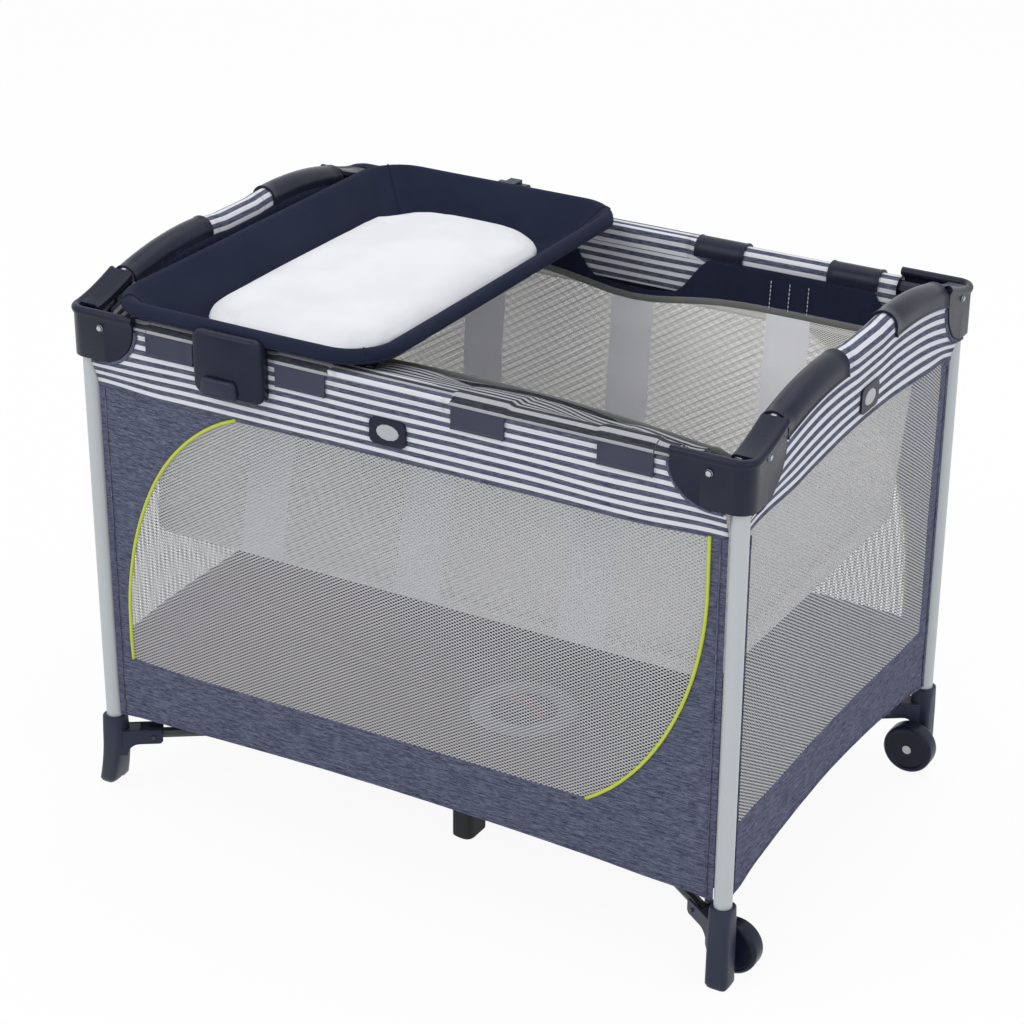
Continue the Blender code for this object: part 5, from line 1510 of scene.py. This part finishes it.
def cap_outline(low, top):
    """A cap wall's section as (outward, height) pairs: a plate under a fat round rim."""
    plate_top = max(low + 0.003, top - 2.2 * CAP_RIM)
    outline = [(-0.0008, low), (0.0, low + 0.001), (0.0, plate_top)]
    for turn in spread(math.radians(-28), math.radians(205), 12):
        outline.append((CAP_RIM * (math.cos(turn) - 0.52), top + CAP_RIM * (math.sin(turn) - 1)))
    return outline + [(-CAP_WALL, plate_top), (-CAP_WALL, low + 0.001), (0.0008 - CAP_WALL, low)]


def make_cap(corner):
    """The open-topped cap that holds a post and the ends of two rails."""
    piece = Cloth(f"cap_shell_{corner.name}", [NAVY])
    sections = []
    for (u, v), (du, dv), low, top in cap_stations():
        sections.append([corner.point(u + n * du, v + n * dv, z) for n, z in cap_outline(low, top)])
    add_section_loft(piece, sections)
    outer = HOOD_INSET - CAP_FACE
    outline = [(outer, -CAP_WALL), (outer, 0.0), (HOOD_REACH - 0.006, 0.0), (HOOD_REACH - 0.001, -0.003)]
    outline += [(HOOD_REACH, -HOOD_LIP), (HOOD_REACH - 0.003, -HOOD_LIP), (HOOD_REACH - 0.006, -CAP_WALL)]
    hood = []
    for v in spread(0.0, CAP_ARM_SHORT, 9):
        hood.append([corner.point(u, v, cap_rim(v) - HOOD_BELOW + z) for u, z in outline])
    add_section_loft(piece, hood)
    inside = CAP_FACE - CAP_WALL / 2
    plan = rounded_loop((0, 0), (inside, inside), CAP_BLOCK_ROUND, 7, 4)
    heights = (CAP_BOTTOM + 0.001, POST_HIGH.z - CAP_BLOCK_TOP)
    piece.close(add_loops(piece, [[corner.point(u, v, z) for u, v in plan] for z in heights]))
    shell = piece.done(corner.body, [f"cap_{corner.name}"])
    soften(shell, 0.0006, angle=40)
    make_rivets(corner)


def make_rivets(corner):
    """Domed rivets on a cap's two faces, over the rails' pivots."""
    places = {
        "long": (corner.point(HALF_LENGTH - LONG_CAP_PIVOT, -CAP_FACE, LONG_RAIL), (0, -corner.sy, 0)),
        "short": (corner.point(-CAP_FACE, HALF_WIDTH - SHORT_CAP_PIVOT, SHORT_PIVOT), (-corner.sx, 0, 0)),
    }
    dome = [(0.0001, 0.0), (RIVET, 0.0), (RIVET, 0.4 * RIVET_HEIGHT), (0.7 * RIVET, 0.85 * RIVET_HEIGHT)]
    dome.append((0.0001, RIVET_HEIGHT))
    for word, (place, facing) in places.items():
        turned(f"rivet_{corner.name}_{word}", place, facing, dome, SILVER, corner.body, [], 24)


def foot_section(corner, size, shift, z, power=FOOT_SQUARENESS):
    """A rounded rectangle round the post's axis at a height."""
    loop = []
    for turn in turns_of(40):
        c, q = math.cos(turn), math.sin(turn)
        u = shift[0] + size[0] * math.copysign(abs(c) ** (2 / power), c)
        v = shift[1] + size[1] * math.copysign(abs(q) ** (2 / power), q)
        loop.append(corner.point(u, v, z))
    return loop


def make_foot(corner):
    """A post's foot: a flared stand and its socket, notched below where it has no wheel."""
    sole, shift = (STAND, (0.0, 0.0)) if corner.wheeled else (SOLE, SOLE_SHIFT)
    loops = []
    for share in (0.0, 0.02, *spread(0.06, 1.0, 12)):
        flare = (1 - share) ** FOOT_FLARE
        inset = SOLE_EDGE * (1 - eased(share / 0.06))
        size = [between(FOOT_SOCKET, full / 2, flare) - inset for full in sole]
        loops.append(foot_section(corner, size, [moved * flare for moved in shift], share * LEG_HEIGHT))
    for share, inset in ((0.5, 0.0), (0.93, 0.0), (0.985, 0.0006), (1.0, 0.0022)):
        z = between(LEG_HEIGHT, FOOT_TOP, share)
        power = FOOT_SQUARENESS - 1.5 * share
        loops.append(foot_section(corner, [FOOT_SOCKET - inset] * 2, (0, 0), z, power))
    foot = stacked(f"foot_shell_{corner.name}", NAVY_SATIN, loops, corner.body,
                   f"foot_{corner.name}")
    if not corner.wheeled:
        rod = [corner.point(u, SOLE_SHIFT[1], 0) for u in (-0.08, 0.02)]
        carve(foot, tube("notch", rod, FOOT_NOTCH, NAVY, corner.body, 24))
        foot.data.shade_smooth()
    soften(foot, 0.0007, angle=45)
    make_foot_arm(corner)


def make_foot_arm(corner):
    """The forked arm beside a foot that holds a floor leg."""
    piece = Cloth(f"foot_arm_{corner.name}", [NAVY_SATIN])
    across = Vector((-corner.inward.y, corner.inward.x, 0))
    base = Vector((corner.post.x, corner.post.y, LEG_HEIGHT))

    def add_bar(outline, start, end):
        add_section_loft(piece, [
            [base + along * corner.inward + aside * across + Vector((0, 0, z)) for along, z in outline]
            for aside in (start, end)])

    half_width, half_height = ARM_HALF
    cheek = [(ARM_START, half_height), (ARM_REACH - 0.003, half_height), (ARM_REACH, half_height - 0.003)]
    cheek += [(ARM_REACH, 0.004 - half_height), (ARM_REACH - 0.004, -half_height)]
    for a in spread(0, math.pi / 2, 7):
        cheek.append((0.034 - ARM_FILLET * math.sin(a), -half_height - ARM_FILLET * (1 - math.cos(a))))
    cheek += [(ARM_START, -half_height - ARM_FILLET)]
    add_bar(cheek, -half_width, -ARM_SLOT)
    add_bar(cheek, ARM_SLOT, half_width)
    start, end = ARM_PLATE
    under = half_height - ARM_PLATE_WALL
    add_bar([(start, under), (end, under), (end, half_height), (start, half_height)], -ARM_SLOT, ARM_SLOT)
    soften(piece.done(corner.body), 0.0012)


def seen_rays(tree):
    """1 for rays that show the backdrop: from the camera, in gloss or through glass."""
    rays = tree.nodes.new("ShaderNodeLightPath")
    total = rays.outputs["Is Camera Ray"]
    for other in ("Is Glossy Ray", "Is Transmission Ray"):
        add = tree.nodes.new("ShaderNodeMath")
        add.operation = "MAXIMUM"
        tree.links.new(total, add.inputs[0])
        tree.links.new(rays.outputs[other], add.inputs[1])
        total = add.outputs[0]
    return total


def make_backdrop():
    """A pale floor that shows plain white."""
    mesh = bpy.data.meshes.new("floor")
    corners = [(x * FLOOR_SPAN, y * FLOOR_SPAN, 0) for x, y in ((-1, -1), (1, -1), (1, 1), (-1, 1))]
    mesh.from_pydata(corners, [], [(0, 1, 2, 3)])
    floor = bpy.data.objects.new("floor", mesh)
    floor.location.z = -0.0005
    bpy.context.scene.collection.objects.link(floor)
    paper = Nodes("pale_floor", 0.9)
    mesh.materials.append(paper.colour((0.86, 0.86, 0.86)))
    glow = paper.node("ShaderNodeEmission", Color=(1.0, 1.0, 1.0, 1.0))
    seen = paper.math("MULTIPLY", seen_rays(paper.tree), FLOOR_GLOW)
    mixed = paper.node("ShaderNodeMixShader", i0=seen, i1=paper.shader.outputs[0], i2=glow)
    paper.put(paper.tree.nodes["Material Output"].inputs["Surface"], mixed)


def light_scene():
    """A soft white surround and three large lamps."""
    world = bpy.data.worlds.new("studio")
    bpy.context.scene.world = world
    world.use_nodes = True
    tree = world.node_tree
    background = tree.nodes["Background"]
    background.inputs["Color"].default_value = (0.98, 0.99, 1.0, 1.0)
    strength = tree.nodes.new("ShaderNodeMapRange")
    strength.inputs["To Min"].default_value = WORLD_LIGHT
    strength.inputs["To Max"].default_value = 1.0
    tree.links.new(seen_rays(tree), strength.inputs["Value"])
    tree.links.new(strength.outputs[0], background.inputs["Strength"])
    for name, place, size, power in LAMPS:
        data = bpy.data.lights.new(name, "AREA")
        data.size = size
        data.energy = power
        lamp = bpy.data.objects.new(name, data)
        lamp.location = place
        lamp.rotation_mode = "QUATERNION"
        lamp.rotation_quaternion = (LAMP_AIM - lamp.location).to_track_quat("-Z", "Y")
        bpy.context.scene.collection.objects.link(lamp)


def place_camera():
    """The camera at the photograph's viewing angle."""
    azimuth, elevation = CAMERA_AZIMUTH, CAMERA_ELEVATION
    flat = math.cos(elevation)
    back = Vector((math.sin(azimuth) * flat, -math.cos(azimuth) * flat, math.sin(elevation)))
    level = Vector((math.cos(azimuth), math.sin(azimuth), 0))
    right = math.cos(CAMERA_ROLL) * level + math.sin(CAMERA_ROLL) * back.cross(level)
    facing = Matrix((right, back.cross(right), back)).transposed()
    data = bpy.data.cameras.new("camera")
    data.sensor_width = SENSOR_MM
    data.lens = CAMERA_FOCUS_PX / PHOTO_PX * SENSOR_MM
    data.clip_end = 60.0
    camera = bpy.data.objects.new("camera", data)
    camera.matrix_world = Matrix.Translation(CAMERA_PLACE) @ facing.to_4x4()
    bpy.context.scene.collection.objects.link(camera)
    bpy.context.scene.camera = camera
    bpy.context.scene.view_settings.view_transform = "Standard"


def main():
    set_materials()
    for side in SIDES.values():
        make_panel(side)
        make_band(side)
        make_sleeves(side)
        if side.long:
            make_piping(side)
        make_inner_band(side)
        make_bindings(side)
        make_clips(side)
        if side.name != "front":
            make_lining(side)
    make_flap()
    make_stitches()
    make_bassinet()
    make_mattress()
    make_floor()
    make_changer()
    make_posts()
    make_wheels()
    for corner in CORNERS:
        make_cap(corner)
        make_foot(corner)
    make_backdrop()
    light_scene()
    place_camera()


main()
